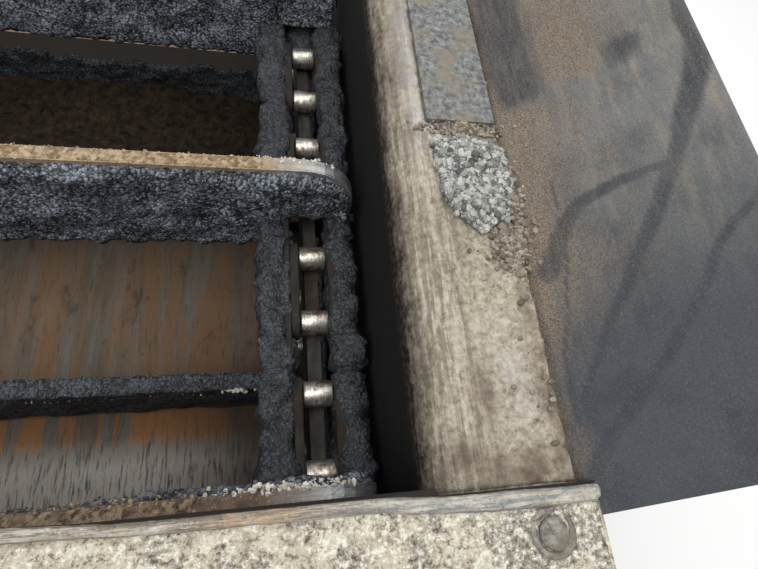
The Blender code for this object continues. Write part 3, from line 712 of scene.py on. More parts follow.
def makeChainCake(label, side, row, joints, cake, seed):
    middle, halfWidth, halfHeight = cake["rows"][row]
    path = np.array([(joint.x, joint.y) for joint in joints])
    lengths = np.concatenate([[0], np.cumsum(np.linalg.norm(np.diff(path, axis=0), axis=1))])
    turnStart = lengths[np.argmin(path[:, 0])] - math.pi / 2 * pitchRadius
    stops = [-cake["endMargin"]]
    while stops[-1] < lengths[-1] + cake["endMargin"]:
        fine = stops[-1] < turnStart
        stops.append(stops[-1] + (cake["fineStep"] if fine else cake["coarseStep"]))
    stops = np.array(stops)

    def onPath(at):
        inner = np.clip(at, 0, lengths[-1])
        point = np.stack([np.interp(inner, lengths, path[:, axis]) for axis in (0, 1)], axis=-1)
        point[:, 0] += np.abs(at - inner)
        return point

    line = onPath(stops)
    spread = chainSizes["pitch"] * 0.3
    ahead = onPath(np.clip(stops + spread, 0, lengths[-1])) - onPath(np.clip(stops - spread, 0, lengths[-1]))
    ahead /= np.linalg.norm(ahead, axis=1, keepdims=True)
    outward = np.stack([ahead[:, 1], -ahead[:, 0]], axis=-1)  # away from the loop's inside
    lower = fade(stops, turnStart + pitchRadius, turnStart + pitchRadius * 3)
    share = 1 - (1 - cake["lowerShare"]) * lower
    turns = np.arange(cake["around"]) * math.tau / cake["around"]
    power = 2 / cake["square"]
    unit = np.stack([np.sign(np.cos(turns)) * np.abs(np.cos(turns)) ** power,
                     np.sign(np.sin(turns)) * np.abs(np.sin(turns)) ** power], axis=-1)
    plateCentre = math.copysign(chainSizes["rollerLength"] / 2 + (chainSizes["inner"] + chainSizes["outer"]) / 2, middle)
    centre = plateCentre + (middle - plateCentre) * share
    width = halfWidth * (0.45 + 0.55 * share)
    tall = halfHeight * (0.6 + 0.4 * share)
    across = centre[:, None] + width[:, None] * unit[None, :, 0]
    rise = tall[:, None] * unit[None, :, 1]
    spot = np.stack([across, np.repeat(stops[:, None], len(turns), axis=1), rise], axis=-1)
    lump = layeredNoise(spot, 0.026, seed, 3)
    scale = layeredNoise(spot, 0.0095, seed + 7, 2)
    grain, own = grainNoise(spot, 0.0048, seed + 13)
    edges = np.concatenate([lengths + cake["crackReach"], lengths - cake["crackReach"]])
    edges = edges[(latticeValue(np.stack([np.arange(len(edges)), np.zeros(len(edges), int), np.zeros(len(edges), int)],
                                         axis=-1), seed) < 0.55)]
    shifted = stops[:, None] + 0.010 * softNoise(spot, 0.03, seed + 3)
    away = np.abs(shifted[..., None] - edges).min(axis=-1)
    crack = np.exp(-(away / cake["crackWidth"]) ** 2) * cake["crack"] * (0.4 + 0.6 * latticeValue(
        (np.floor(spot / 0.03)).astype(np.int64), seed + 5))
    depth = share[:, None] * (cake["lump"] * lump + cake["scale"] * scale) + cake["grain"] * (grain - 0.35) - crack
    toGap = np.clip(-unit[None, :, 0] * math.copysign(1, middle), 0, 1)
    depth = np.minimum(depth, 0.0045 + 0.004 * (1 - toGap))
    ends = np.clip(np.minimum(stops - stops[0], stops[-1] - stops) / 0.012, 0.15, 1) ** 0.5
    across = centre[:, None] + (width[:, None] * unit[None, :, 0] + depth * unit[None, :, 0]) * ends[:, None]
    rise = (rise + depth * unit[None, :, 1]) * ends[:, None]
    wall = chainSizes["wallLimit"]
    across = np.minimum(across, wall)
    yz = line[:, None, :] + rise[..., None] * outward[:, None, :]
    world = np.concatenate([(side * (chainX + across))[..., None], yz], axis=-1)
    faces = tubeFaces(len(stops), len(turns))
    if side < 0:
        faces = flipped(faces)
    piece = newPiece(f"chain_cake_{row}_{label}", world, faces, chainShadedAsphaltLook, slot="chain")
    return piece


chainSizes["wallLimit"] = wallX - chainX - 0.0015
joints = chainJoints(chainSizes)
for label, side in (("left", -1), ("right", 1)):
    makeChain(label, side, joints, chainSizes)
    for number, row in enumerate(chainCake["rows"]):
        makeChainCake(label, side, row, joints, chainCake, 101 + number * 31 + (side > 0) * 57)

# a dark clump of asphalt between the link plates, at the foot of the far flight: painted shade, filling a gap that lies
# in shade
footShadeClump = {
    "half": (0.0200, 0.0400, 0.0150),
    "past": 0.0060,
    "below": 0.0100,
    "steps": 14,
    "sides": 30,
    "lump": 0.20,
}


def makeFootShadeClump(label, side, look, seed):
    turns = np.linspace(0, math.pi, look["steps"])
    points, faces = lathe([(-math.cos(turn), math.sin(turn) + 0.002) for turn in turns], look["sides"])
    points = points * (1 + look["lump"] * layeredNoise(points, 0.6, seed, 4))[:, None] * np.array(look["half"])
    place = (side * chainX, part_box("flight_1")[0].y + look["past"], shaftZ + pitchRadius - look["below"])
    newPiece(f"foot_shade_clump_{label}", points + np.array(place), facing(points, faces, np.zeros(3)), chainShadedAsphaltLook,
             slot="chain")


makeFootShadeClump("left", -1, footShadeClump, 171)
makeFootShadeClump("right", 1, footShadeClump, 177)
print("chains caked")

# dust baked on the walls' folded tops
dustCrust = {
    "bend": 0.030,
    "belowBend": 0.020,
    "step": 0.0021,
    "fineStep": 0.0021,
    "coarseStep": 0.0060,
    "fineEnd": 0.24,
    "depth": 0.0016,
    "patch": 0.0009,
    "grain": 0.0006,
    "ridge": 0.0035,
    "ridgeWidth": 0.008,
    "sunk": 0.0008,
    "black": (0.006, 0.0055, 0.005),
    "brown": (0.075, 0.052, 0.036),
    "dark": (0.13, 0.105, 0.08),
    "beige": (0.28, 0.240, 0.18),
    "pale": (0.455, 0.415, 0.335),
    "white": (0.58, 0.58, 0.55),
    "earth": (0.085, 0.058, 0.040),
    "paint": (0.075, 0.080, 0.086),
    "palePaint": (0.150, 0.145, 0.135),
    "paintRust": (0.125, 0.068, 0.038),
    "paintFrom": (0.0020, 0.0032),       # depth below the dusty face where the outside's paint starts and is full
    # middle across and along, reach and strength of pale and of brown patches
    "paleSpots": [(0.4040, 0.160, 0.008, 0.080, 0.50), (0.4105, 0.084, 0.009, 0.010, 0.90),
                  (0.443, -0.118, 0.014, 0.030, 0.22)],
    # the brown patches at along -0.170 and -0.179 are partly painted shade along the cover's edge
    "brownSpots": [(0.4200, 0.012, 0.009, 0.026, 0.55), (0.4003, -0.1700, 0.012, 0.012, 0.65),
                   (0.4480, -0.1790, 0.042, 0.013, 0.80), (0.4620, -0.090, 0.006, 0.075, 0.55),
                   (0.4230, -0.146, 0.008, 0.030, 0.50), (0.4660, -0.140, 0.005, 0.045, 0.60),
                   (0.3980, 0.200, 0.010, 0.120, 0.45)],
    "creaseLine": (0.0032, 0.0018),      # from the crease, where the dark line starts and where it is full: dirt, and painted shade in the crease
    "crack": (-0.205, -0.085, 0.0030),   # along from, to, and how wide, at the crease
}


def makeDustLook(name, look, fadeHeight=None):
    material, tree, shader = newLook(name, roughness=0.9, specular=0.25)
    x, y, z = axesOf(tree)
    mottle = noiseOf(tree, 0.0048, 6, 0.72)
    broad = noiseOf(tree, 0.05, 4, 0.6)
    streak = noiseOf(tree, 0.0040, 6, 0.62, (1, 0.07, 1))
    specks = noiseOf(tree, 0.0013, 3, 0.7)
    tone = rampOf(tree, sumOf(tree, mottle, spanOf(tree, broad, 0.3, 0.7, -0.06, 0.06)),
                  [(0.32, look["dark"]), (0.47, look["beige"]), (0.66, look["pale"])])
    aside = sumOf(tree, x, 0.0, "ABSOLUTE")
    bend = spanOf(tree, aside, creaseX - 0.040, creaseX - 0.058)
    tone = mixOf(tree, sumOf(tree, spanOf(tree, streak, 0.44, 0.58, 0, 0.62), bend, "MULTIPLY"), tone, look["dark"])
    tone = mixOf(tree, sumOf(tree, spanOf(tree, streak, 0.50, 0.36, 0, 0.45), bend, "MULTIPLY"), tone, look["pale"])
    tone = mixOf(tree, spanOf(tree, specks, 0.60, 0.74, 0, 0.5), tone, look["pale"])
    tone = mixOf(tree, spanOf(tree, specks, 0.40, 0.28, 0, 0.7), tone, look["dark"])
    tone = mixOf(tree, maskOf(tree, "pale"), tone, look["white"])
    tone = mixOf(tree, maskOf(tree, "brown"), tone, look["earth"])
    tone = mixOf(tree, maskOf(tree, "crack"), tone, look["black"])
    # a dark earth line along the crease: dirt and painted crease shade
    start, full = look["creaseLine"]
    tone = mixOf(tree, spanOf(tree, aside, creaseX - start, creaseX - full, 0, 0.9), tone, look["earth"])
    # below these heights the walls and their crust go through brown scabs to black: asphalt, darkened further as
    # painted shade inside the trough
    if fadeHeight:
        low, high = fadeHeight
        wander = spanOf(tree, noiseOf(tree, 0.014, 6, 0.72, (1, 0.45, 1)), 0.25, 0.75, -0.010, 0.010)
        level = sumOf(tree, z, wander)
        scabsAndShade = mixOf(tree, spanOf(tree, mottle, 0.46, 0.60), look["black"], look["brown"])
        wall = mixOf(tree, spanOf(tree, level, low, (low + high) / 2), look["black"], scabsAndShade)
        tone = mixOf(tree, spanOf(tree, level, (low + high) / 2, high), wall, tone)
    # the outside of the folded plate lies nearer than the bend's radius to the bend's middle
    radius = look["bend"]
    across = spanOf(tree, aside, wallX + radius, wallX, 0, radius)
    upward = spanOf(tree, z, flangeZ - radius, flangeZ, 0, radius)
    squared = sumOf(tree, sumOf(tree, across, across, "MULTIPLY"), sumOf(tree, upward, upward, "MULTIPLY"))
    start, full = look["paintFrom"]
    paint = mixOf(tree, spanOf(tree, mottle, 0.4, 0.66), look["paint"], look["palePaint"])
    paint = mixOf(tree, spanOf(tree, broad, 0.50, 0.76, 0, 0.85), paint, look["paintRust"])
    tone = mixOf(tree, spanOf(tree, squared, (radius - start) ** 2, (radius - full) ** 2), tone, paint)
    feed(tree, shader.inputs["Base Color"], tone)
    bump = bumpOf(tree, mottle, 0.0012)
    feed(tree, shader.inputs["Normal"], bumpOf(tree, specks, 0.0006, bump))
    return material


wallLook = makeDustLook("wallDust", dustCrust, (flangeZ - 0.044, flangeZ - 0.006))
crustLook = makeDustLook("dustCrust", dustCrust, (flangeZ - 0.044, flangeZ - 0.006))


def longStops(low, high, look):
    fine = np.arange(low, min(look["fineEnd"], high), look["fineStep"])
    coarse = np.arange(look["fineEnd"], high, look["coarseStep"])
    return np.concatenate([fine, coarse, [high]])


def makeDustCrust(label, side, look, seed):
    bend = look["bend"]
    arc = bend * math.pi / 2
    reach = look["belowBend"] + arc + creaseX - wallX - bend
    along = np.arange(0, reach + look["step"] / 2, look["step"])
    turn = np.clip((along - look["belowBend"]) / bend, 0, math.pi / 2)
    before = np.clip(look["belowBend"] - along, 0, None)
    past = np.clip(along - look["belowBend"] - arc, 0, None)
    baseX = wallX + bend * (1 - np.cos(turn)) + past
    baseZ = flangeZ - bend + bend * np.sin(turn) - before
    wayX, wayZ = -np.cos(turn), np.sin(turn)
    stops = longStops(coverBox[1].y + 0.0006, jointY - 0.001, look)  # from the cover's edge on
    y = np.repeat(stops[:, None], len(along), axis=1)
    spot = np.stack([np.repeat(baseX[None, :], len(stops), axis=0), y, np.repeat(baseZ[None, :], len(stops), axis=0)],
                    axis=-1)
    streaked = spot * np.array([1, 0.12, 1])
    flat = fade(turn, 0.9, 1.5)[None, :]
    patch = layeredNoise(spot, 0.011, seed, 3)
    grain, own = grainNoise(spot, 0.0042, seed + 5)
    toCrease = creaseX - spot[..., 0]
    ridge = look["ridge"] * np.exp(-(toCrease / look["ridgeWidth"]) ** 2) * (0.55 + 0.9 * softNoise(spot, 0.016, seed + 9))
    depth = look["depth"] * (0.35 + 0.65 * flat) + 0.0004 * layeredNoise(streaked, 0.004, seed + 3, 2)
    near, far, crackWidth = look["crack"]
    crack = fade(y, near - 0.004, near + 0.004) * (1 - fade(y, far - 0.012, far))
    crack = crack * (1 - fade(toCrease + 0.0016 * softNoise(spot, 0.012, seed + 31), crackWidth * 0.6, crackWidth))
    wander = layeredNoise(spot, 0.012, seed + 21, 3)

    def spotted(spots):
        total = np.zeros_like(y)
        for middleX, middleY, reachX, reachY, strength in spots:
            away = ((spot[..., 0] - middleX) / reachX) ** 2 + ((y - middleY) / reachY) ** 2
            total = np.maximum(total, strength * np.clip(np.exp(-away) * (1 + 0.9 * wander), 0, 1))
        return total

    depth = depth + flat * (look["patch"] * patch + look["grain"] * (grain - 0.3)) + ridge * (1 - crack)
    onPlate = (y > spliceBox[0].y - 0.002 + 0.004 * softNoise(spot, 0.012, seed + 12)) & (
        spot[..., 0] > spliceBox[0].x - 0.001 + 0.003 * softNoise(spot, 0.02, seed + 14))
    depth = np.where(onPlate, -look["sunk"] * 0.4, depth)
    depth = depth * fade(along, 0.0, 0.016)[None, :]
    depth = np.where((along < look["step"] / 2)[None, :] | (along > reach - look["step"])[None, :], -look["sunk"], depth)
    depth[0, :] = -look["sunk"]
    depth[-1, :] = -look["sunk"]
    world = np.stack([side * (spot[..., 0] + depth * wayX[None, :]), y, spot[..., 2] + depth * wayZ[None, :]], axis=-1)
    faces = shellFaces(len(stops), len(along))
    if side > 0:
        faces = flipped(faces)
    piece = newPiece(f"dust_crust_{label}", world, faces, crustLook, slot="dusty_steel")
    addMask(piece, "pale", spotted(look["paleSpots"]))
    addMask(piece, "brown", spotted(look["brownSpots"]))
    addMask(piece, "crack", crack)


for label, side in (("left", -1), ("right", 1)):
    wall = nodes[f"side_plate_{label}"]
    wall.data.materials.clear()
    wall.data.materials.append(wallLook)
    makeDustCrust(label, side, dustCrust, 311 + side * 17)
print("walls dusted")

# rubber wings
rubber = {
    "slope": math.radians(40),
    "thickness": 0.0095,
    "slant": 0.152,
    "footX": 0.47038,
    "footZ": 0.54291,
    "notchEnd": -0.1842,
    "notchStart": 0.0100,
    "footStart": -0.0018,           # below the slope's foot, so that no slit shows along the flange's edge
    "start": -0.20056,
    "nearEdge": (-0.2083, 0.110),   # along the trough at the crease, and how much it slants up the slope
    "nearReach": 0.06,
    "step": 0.0024,
    "fineStep": 0.0021,
    "coarseStep": 0.0080,
    "fineEnd": 0.20,
    "wave": 0.0010,
    "colour": (0.124, 0.124, 0.121),
    "lowColour": (0.047, 0.051, 0.057),
    "lowFibre": (0.110, 0.115, 0.120),
    "dark": (0.017, 0.021, 0.028),
    "dust": (0.105, 0.072, 0.048),
    "paleDust": (0.26, 0.215, 0.16),
    # darker, smoother lines on the rubber: points along the trough and up the slope, and half width at each end
    "darkLines": [
        ([(0.02, 0.030), (-0.047, 0.027), (-0.09, 0.017), (-0.106, 0.012), (-0.123, 0.010), (-0.155, 0.009)],
         0.0011, 0.0016),
        ([(-0.066, 0.064), (-0.096, 0.042), (-0.113, 0.032), (-0.130, 0.021), (-0.142, 0.013)], 0.0040, 0.0010),
        ([(-0.020, 0.154), (-0.039, 0.141), (-0.064, 0.114), (-0.102, 0.087), (-0.127, 0.064), (-0.150, 0.041),
          (-0.164, 0.026), (-0.176, 0.016), (-0.190, 0.008)], 0.0022, 0.0060),
        ([(0.130, 0.153), (0.081, 0.147), (0.044, 0.130), (0.011, 0.113), (-0.028, 0.088), (-0.066, 0.064)],
         0.0095, 0.0042),
        ([(0.004, 0.103), (0.002, 0.074), (-0.006, 0.044), (-0.026, 0.027), (-0.052, 0.013)], 0.0030, 0.0085),
    ],
    # along from, to, up the slope from, to
    "darkPatches": [(0.094, 0.60, 0.004, 0.046), (0.096, 0.124, 0.094, 0.117), (-0.205, -0.178, 0.0, 0.020)],
}


def makeRubberLook(look):
    material, tree, shader = newLook("rubberSheet", specular=0.3)
    weave = noiseOf(tree, 0.0012, 3, 0.75)
    streak = noiseOf(tree, 0.006, 5, 0.65, (1, 0.14, 1))
    scuffs = noiseOf(tree, 0.010, 6, 0.7, (1, 0.16, 1))
    cloud = noiseOf(tree, 0.045, 4, 0.6)
    dust = sumOf(tree, maskOf(tree, "dust"), spanOf(tree, streak, 0.3, 0.7, -0.18, 0.22))
    x, y, z = axesOf(tree)
    upper = spanOf(tree, y, -0.10, 0.04)
    tone = mixOf(tree, upper, look["lowColour"], look["colour"])
    tone = mixOf(tree, spanOf(tree, cloud, 0.50, 0.66, 0, 0.40), tone, look["dark"])
    scuffed = sumOf(tree, spanOf(tree, scuffs, 0.48, 0.66, 0, 0.42), upper, "MULTIPLY")
    tone = mixOf(tree, scuffed, tone, look["paleDust"])
    dusty = mixOf(tree, spanOf(tree, weave, 0.42, 0.68), look["dust"], look["paleDust"])
    tone = mixOf(tree, spanOf(tree, dust, 0.22, 1.05, 0, 0.9), tone, dusty)
    darkMark = sumOf(tree, maskOf(tree, "darkMark"), spanOf(tree, streak, 0.35, 0.65, -0.22, 0.14))
    tone = mixOf(tree, spanOf(tree, darkMark, 0.0, 1.0, 0, 0.90), tone, look["dark"])
    fibre = mixOf(tree, upper, look["lowFibre"], look["paleDust"])
    tone = mixOf(tree, spanOf(tree, weave, 0.54, 0.70, 0, 0.48), tone, fibre)
    tone = mixOf(tree, spanOf(tree, weave, 0.46, 0.30, 0, 0.55), tone, look["dark"])
    feed(tree, shader.inputs["Base Color"], tone)
    feed(tree, shader.inputs["Roughness"], spanOf(tree, maskOf(tree, "darkMark"), 0, 1, 0.8, 0.55))
    feed(tree, shader.inputs["Normal"], bumpOf(tree, weave, 0.0003))
    return material


rubberLook = makeRubberLook(rubber)


def makeWing(label, side, look, seed):
    stops = longStops(look["start"], jointY, look)
    up = np.linspace(0, 1, int(look["slant"] / look["step"]))
    first = np.where(stops < look["notchEnd"], look["notchStart"], look["footStart"])
    slope = first[:, None] + (look["slant"] - first)[:, None] * up[None, :]
    nearEdge, slant = look["nearEdge"]
    toEdge = 1 - fade(stops, look["start"], look["start"] + look["nearReach"])
    along = stops[:, None] + (nearEdge + slant * slope - look["start"]) * toEdge[:, None]
    flat = np.stack([along, slope], axis=-1)
    spot = np.stack([along, slope, np.zeros_like(slope)], axis=-1)
    wave = look["wave"] * layeredNoise(spot, 0.11, seed, 3) + 0.00025 * layeredNoise(spot, 0.012, seed + 4, 2)
    edge = np.minimum(slope, look["slant"] - slope)
    rounding = 0.0022 * (1 - np.sqrt(fade(edge, -0.0004, 0.0035)))
    lift = wave * fade(edge, 0, 0.02) - rounding
    darkMark = np.zeros_like(slope)
    for curve, wide, narrow in look["darkLines"]:
        away, share = nearCurve(flat + 0.0016 * np.stack([softNoise(spot, 0.03, seed + 1), softNoise(spot, 0.02, seed + 2)],
                                                         axis=-1), curve)
        width = wide + (narrow - wide) * share
        darkMark = np.maximum(darkMark, (1 - fade(away, width * 0.70, width * 1.25)) * (0.8 + 0.2 * softNoise(spot, 0.03, seed)))
    for low, high, inner, outer in look["darkPatches"]:
        wander = 0.006 * layeredNoise(spot * np.array([0.3, 1, 1]), 0.014, seed + 6, 2)
        inside = fade(along, low - 0.006, low + 0.010) * (1 - fade(along, high - 0.010, high + 0.006))
        inside *= fade(slope + wander, inner - 0.006, inner + 0.008)
        inside *= 1 - fade(slope + wander, outer - 0.010, outer + 0.006)
        darkMark = np.maximum(darkMark, inside * 0.8)
    creased = np.exp(-slope / 0.016) * (0.62 + 0.38 * fade(along, -0.16, -0.05))
    middle = (1 - fade(along, 0.080, 0.100)) * fade(along, -0.13, -0.02) * np.exp(-np.clip(slope - 0.02, 0, None) / 0.05)
    beyond = fade(along, 0.09, 0.11) * (0.35 + 0.5 * np.exp(-((slope - 0.07) / 0.025) ** 2))
    dust = np.clip(0.95 * creased + 0.75 * middle + beyond + 0.14 * layeredNoise(spot, 0.05, seed + 8, 3), 0, 1)
    # under side first and last, so that strips close the sheet below
    run, rise = math.cos(look["slope"]), math.sin(look["slope"])

    def placed(slopePart, alongPart, height):
        x = look["footX"] + slopePart * run - height * rise
        z = look["footZ"] + slopePart * rise + height * run
        return np.stack([side * x, alongPart, z], axis=-1)

    low = np.full((len(stops), 1), -look["thickness"])
    world = np.concatenate([placed(first[:, None], along[:, :1], low), placed(slope, along, lift),
                            placed(slope[:, -1:], along[:, -1:], low)], axis=1)
    faces = shellFaces(world.shape[0], world.shape[1])
    if side > 0:
        faces = flipped(faces)
    piece = newPiece(f"rubber_wing_{label}", world, faces, rubberLook, slot="rubber")
    piece.data.set_sharp_from_angle(angle=math.radians(50))
    addMask(piece, "darkMark", np.pad(darkMark, ((0, 0), (1, 1))))
    addMask(piece, "dust", np.pad(dust, ((0, 0), (1, 1))))
    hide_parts(f"wing_{label}")


for label, side in (("left", -1), ("right", 1)):
    makeWing(label, side, rubber, 431 + side * 13)
print("wings made")

# crust on the foot cover
coverCrust = {
    "fineStep": 0.0024,
    "coarseStep": 0.0065,
    "fineX": 0.13,
    "fineDepth": 0.07,
    "depth": 0.0012,
    "flake": 0.0011,
    "pebble": 0.0011,
    "sunk": 0.0006,
    "margin": 0.001,
    "pale": (0.58, 0.535, 0.430),
    "beige": (0.46, 0.410, 0.315),
    "grey": (0.28, 0.245, 0.190),
    "pebbleDark": (0.150, 0.128, 0.100),
    "pebbleLight": (0.54, 0.495, 0.405),
    "rust": (0.44, 0.32, 0.20),
    "paintedHighlight": (0.78, 0.75, 0.66),
    "paintedPitShade": (0.085, 0.068, 0.050),
}


def makeCoverLook(look):
    material, tree, shader = newLook("coverMortar", roughness=0.92, specular=0.2)
    mottle = noiseOf(tree, 0.010, 8, 0.75)
    specks = noiseOf(tree, 0.0017, 5, 0.8)
    coarse = noiseOf(tree, 0.0034, 6, 0.78)
    base = rampOf(tree, mottle, [(0.34, look["grey"]), (0.46, look["beige"]), (0.60, look["pale"])])
    base = mixOf(tree, spanOf(tree, noiseOf(tree, 0.045, 5, 0.7), 0.54, 0.68, 0, 0.5), base, look["rust"])
    crazed = grainsOf(tree, 0.0125, "DISTANCE_TO_EDGE")[0]
    lines = sumOf(tree, spanOf(tree, crazed, 0.050, 0.016), spanOf(tree, noiseOf(tree, 0.02, 4, 0.6), 0.55, 0.62),
                  "MULTIPLY")
    base = mixOf(tree, spanOf(tree, lines, 0, 1, 0, 0.55), base, look["pebbleDark"])
    pebbly = mixOf(tree, spanOf(tree, coarse, 0.38, 0.64), look["pebbleDark"], look["pebbleLight"])
    flaky = sumOf(tree, maskOf(tree, "flake"), spanOf(tree, coarse, 0.3, 0.7, 0.30, -0.30))
    tone = mixOf(tree, spanOf(tree, flaky, 0.35, 0.75), base, pebbly)
    # the highest bumps painted light and the lowest dark: painted highlight, and painted shade in the pits and specks
    tone = mixOf(tree, spanOf(tree, coarse, 0.53, 0.59, 0, 0.85), tone, look["paintedHighlight"])
    tone = mixOf(tree, spanOf(tree, coarse, 0.45, 0.40, 0, 0.75), tone, look["paintedPitShade"])
    tone = mixOf(tree, spanOf(tree, specks, 0.38, 0.28, 0, 0.60), tone, look["paintedPitShade"])
    feed(tree, shader.inputs["Base Color"], tone)
    bump = bumpOf(tree, coarse, 0.0008)
    feed(tree, shader.inputs["Normal"], bumpOf(tree, specks, 0.0004, bump))
    return material


coverLook = makeCoverLook(coverCrust)


def makeCoverCrust(look):
    margin = look["margin"]
    backY, edgeY = coverBox[0].y + margin, coverBox[1].y - 0.0002
    halfX = coverBox[1].x - margin
    fineY = np.arange(edgeY, edgeY - look["fineDepth"], -look["fineStep"])
    coarseY = np.arange(fineY[-1] - look["coarseStep"], backY, -look["coarseStep"])
    stops = np.concatenate([fineY, coarseY, [backY]])[::-1]
    fineX = np.arange(halfX, look["fineX"], -look["fineStep"])
    coarseX = np.arange(fineX[-1] - look["coarseStep"], -halfX, -look["coarseStep"])
    across = np.concatenate([fineX, coarseX, [-halfX]])[::-1]
    x, y = np.meshgrid(across, stops)
    spot = np.stack([x, y, np.zeros_like(x)], axis=-1)
    broad = layeredNoise(spot, 0.05, 521, 4)
    patch = layeredNoise(spot, 0.022, 533, 5, 0.72)
    flake = fade(patch + 1.05 * fade(x, 0.375, 0.445) - 0.25, 0.10, 0.55)
    grain, own = grainNoise(spot, 0.0042, 547)
    depth = look["depth"] * (1 + 0.35 * broad) - look["flake"] * flake * 0.6
    depth = depth + (0.45 + 0.55 * flake) * look["pebble"] * (grain - 0.35) + 0.0003 * layeredNoise(spot, 0.006, 551, 2)
    rim = np.minimum(np.minimum(x + halfX, halfX - x), np.minimum(y - backY, edgeY - y))
    depth = np.maximum(depth, 0.0002)
    depth = np.where(rim < 0.0001, -look["sunk"], depth)
    world = np.stack([x, y, coverBox[1].z + depth], axis=-1)
    piece = newPiece("cover_crust", world, shellFaces(*x.shape), coverLook, slot="dusty_steel")
    addMask(piece, "flake", flake)


makeCoverCrust(coverCrust)
cover = nodes["foot_cover"]
cover.data.materials.clear()
cover.data.materials.append(coverLook)
print("cover crusted")

# the wiper: a sheet that hangs in the trough, with a pale lip folded back over the cover's edge
strip = {
    "step": 0.0025,
    "sheetInset": 0.0020,
    "height": 0.0056,
    # distance from the middle, how far the lip's front stands past the sheet's back, and the lip's width
    "places": [(0.0, 0.0050, 0.0066), (0.166, 0.0046, 0.0066), (0.210, 0.0024, 0.0064), (0.283, 0.0013, 0.0068),
               (0.351, 0.0010, 0.0078), (0.380, -0.0008, 0.0094), (0.430, -0.0018, 0.0104), (0.474, -0.0026, 0.0092)],
    "wave": 0.0006,
    "rise": 0.0009,
    "ridge": 0.0015,
    "endRound": 0.005,
    # over the flanges, how far the sheet stands past the cover's edge, its thickness, and its height above the top
    "sheetPast": 0.0006,
    "sheetThick": 0.0020,
    "sheetRise": 0.0016,
    "cream": (0.39, 0.350, 0.275),
    "paintedHighlight": (0.55, 0.530, 0.465),
    "blueGrey": (0.190, 0.210, 0.222),
    "earth": (0.175, 0.140, 0.100),
    "paintedPitShade": (0.085, 0.068, 0.052),
    "blueFrom": 0.30,
    "blueTo": 0.37,
    "rust": (0.46, 0.28, 0.14),
    "rustX": (0.262, 0.305),
    "shade": (0.020, 0.015, 0.011),
}


def makeStripLook(look):
    material, tree, shader = newLook("paleStrip", roughness=0.7, specular=0.35)
    x, y, z = axesOf(tree)
    mottle = noiseOf(tree, 0.007, 6, 0.7, (0.5, 1, 1))
    fine = noiseOf(tree, 0.0020, 5, 0.78)
    groove = noiseOf(tree, 0.0034, 5, 0.70, (0.07, 1, 1))
    # lighter patches on the cream: painted highlights
    tone = mixOf(tree, spanOf(tree, mottle, 0.46, 0.60, 0, 0.8), look["cream"], look["paintedHighlight"])
    blueGrey = mixOf(tree, spanOf(tree, x, look["blueFrom"], look["blueTo"]), look["earth"], look["blueGrey"])
    tone = mixOf(tree, spanOf(tree, groove, 0.44, 0.55, 0, 0.90), tone, blueGrey)
    # fine specks: painted highlights, and painted shade in the darker ones
    tone = mixOf(tree, spanOf(tree, fine, 0.54, 0.66, 0, 0.6), tone, look["paintedHighlight"])
    tone = mixOf(tree, spanOf(tree, fine, 0.44, 0.33, 0, 0.8), tone, look["paintedPitShade"])
    low, high = look["rustX"]
    rusty = sumOf(tree, spanOf(tree, x, low - 0.010, low + 0.010), spanOf(tree, x, high + 0.010, high - 0.010), "MULTIPLY")
    rusty = sumOf(tree, rusty, spanOf(tree, mottle, 0.44, 0.56), "MULTIPLY")
    tone = mixOf(tree, spanOf(tree, rusty, 0, 1, 0, 0.6), tone, look["rust"])
    # the sheet below the lip is near-black: painted shade in front of and under the lip
    tone = mixOf(tree, maskOf(tree, "sheet"), tone, look["shade"])
    feed(tree, shader.inputs["Base Color"], tone)
    bump = bumpOf(tree, groove, -0.0030)
    feed(tree, shader.inputs["Normal"], bumpOf(tree, noiseOf(tree, 0.0022, 5, 0.7), 0.0006, bump))
    return material


stripLook = makeStripLook(strip)


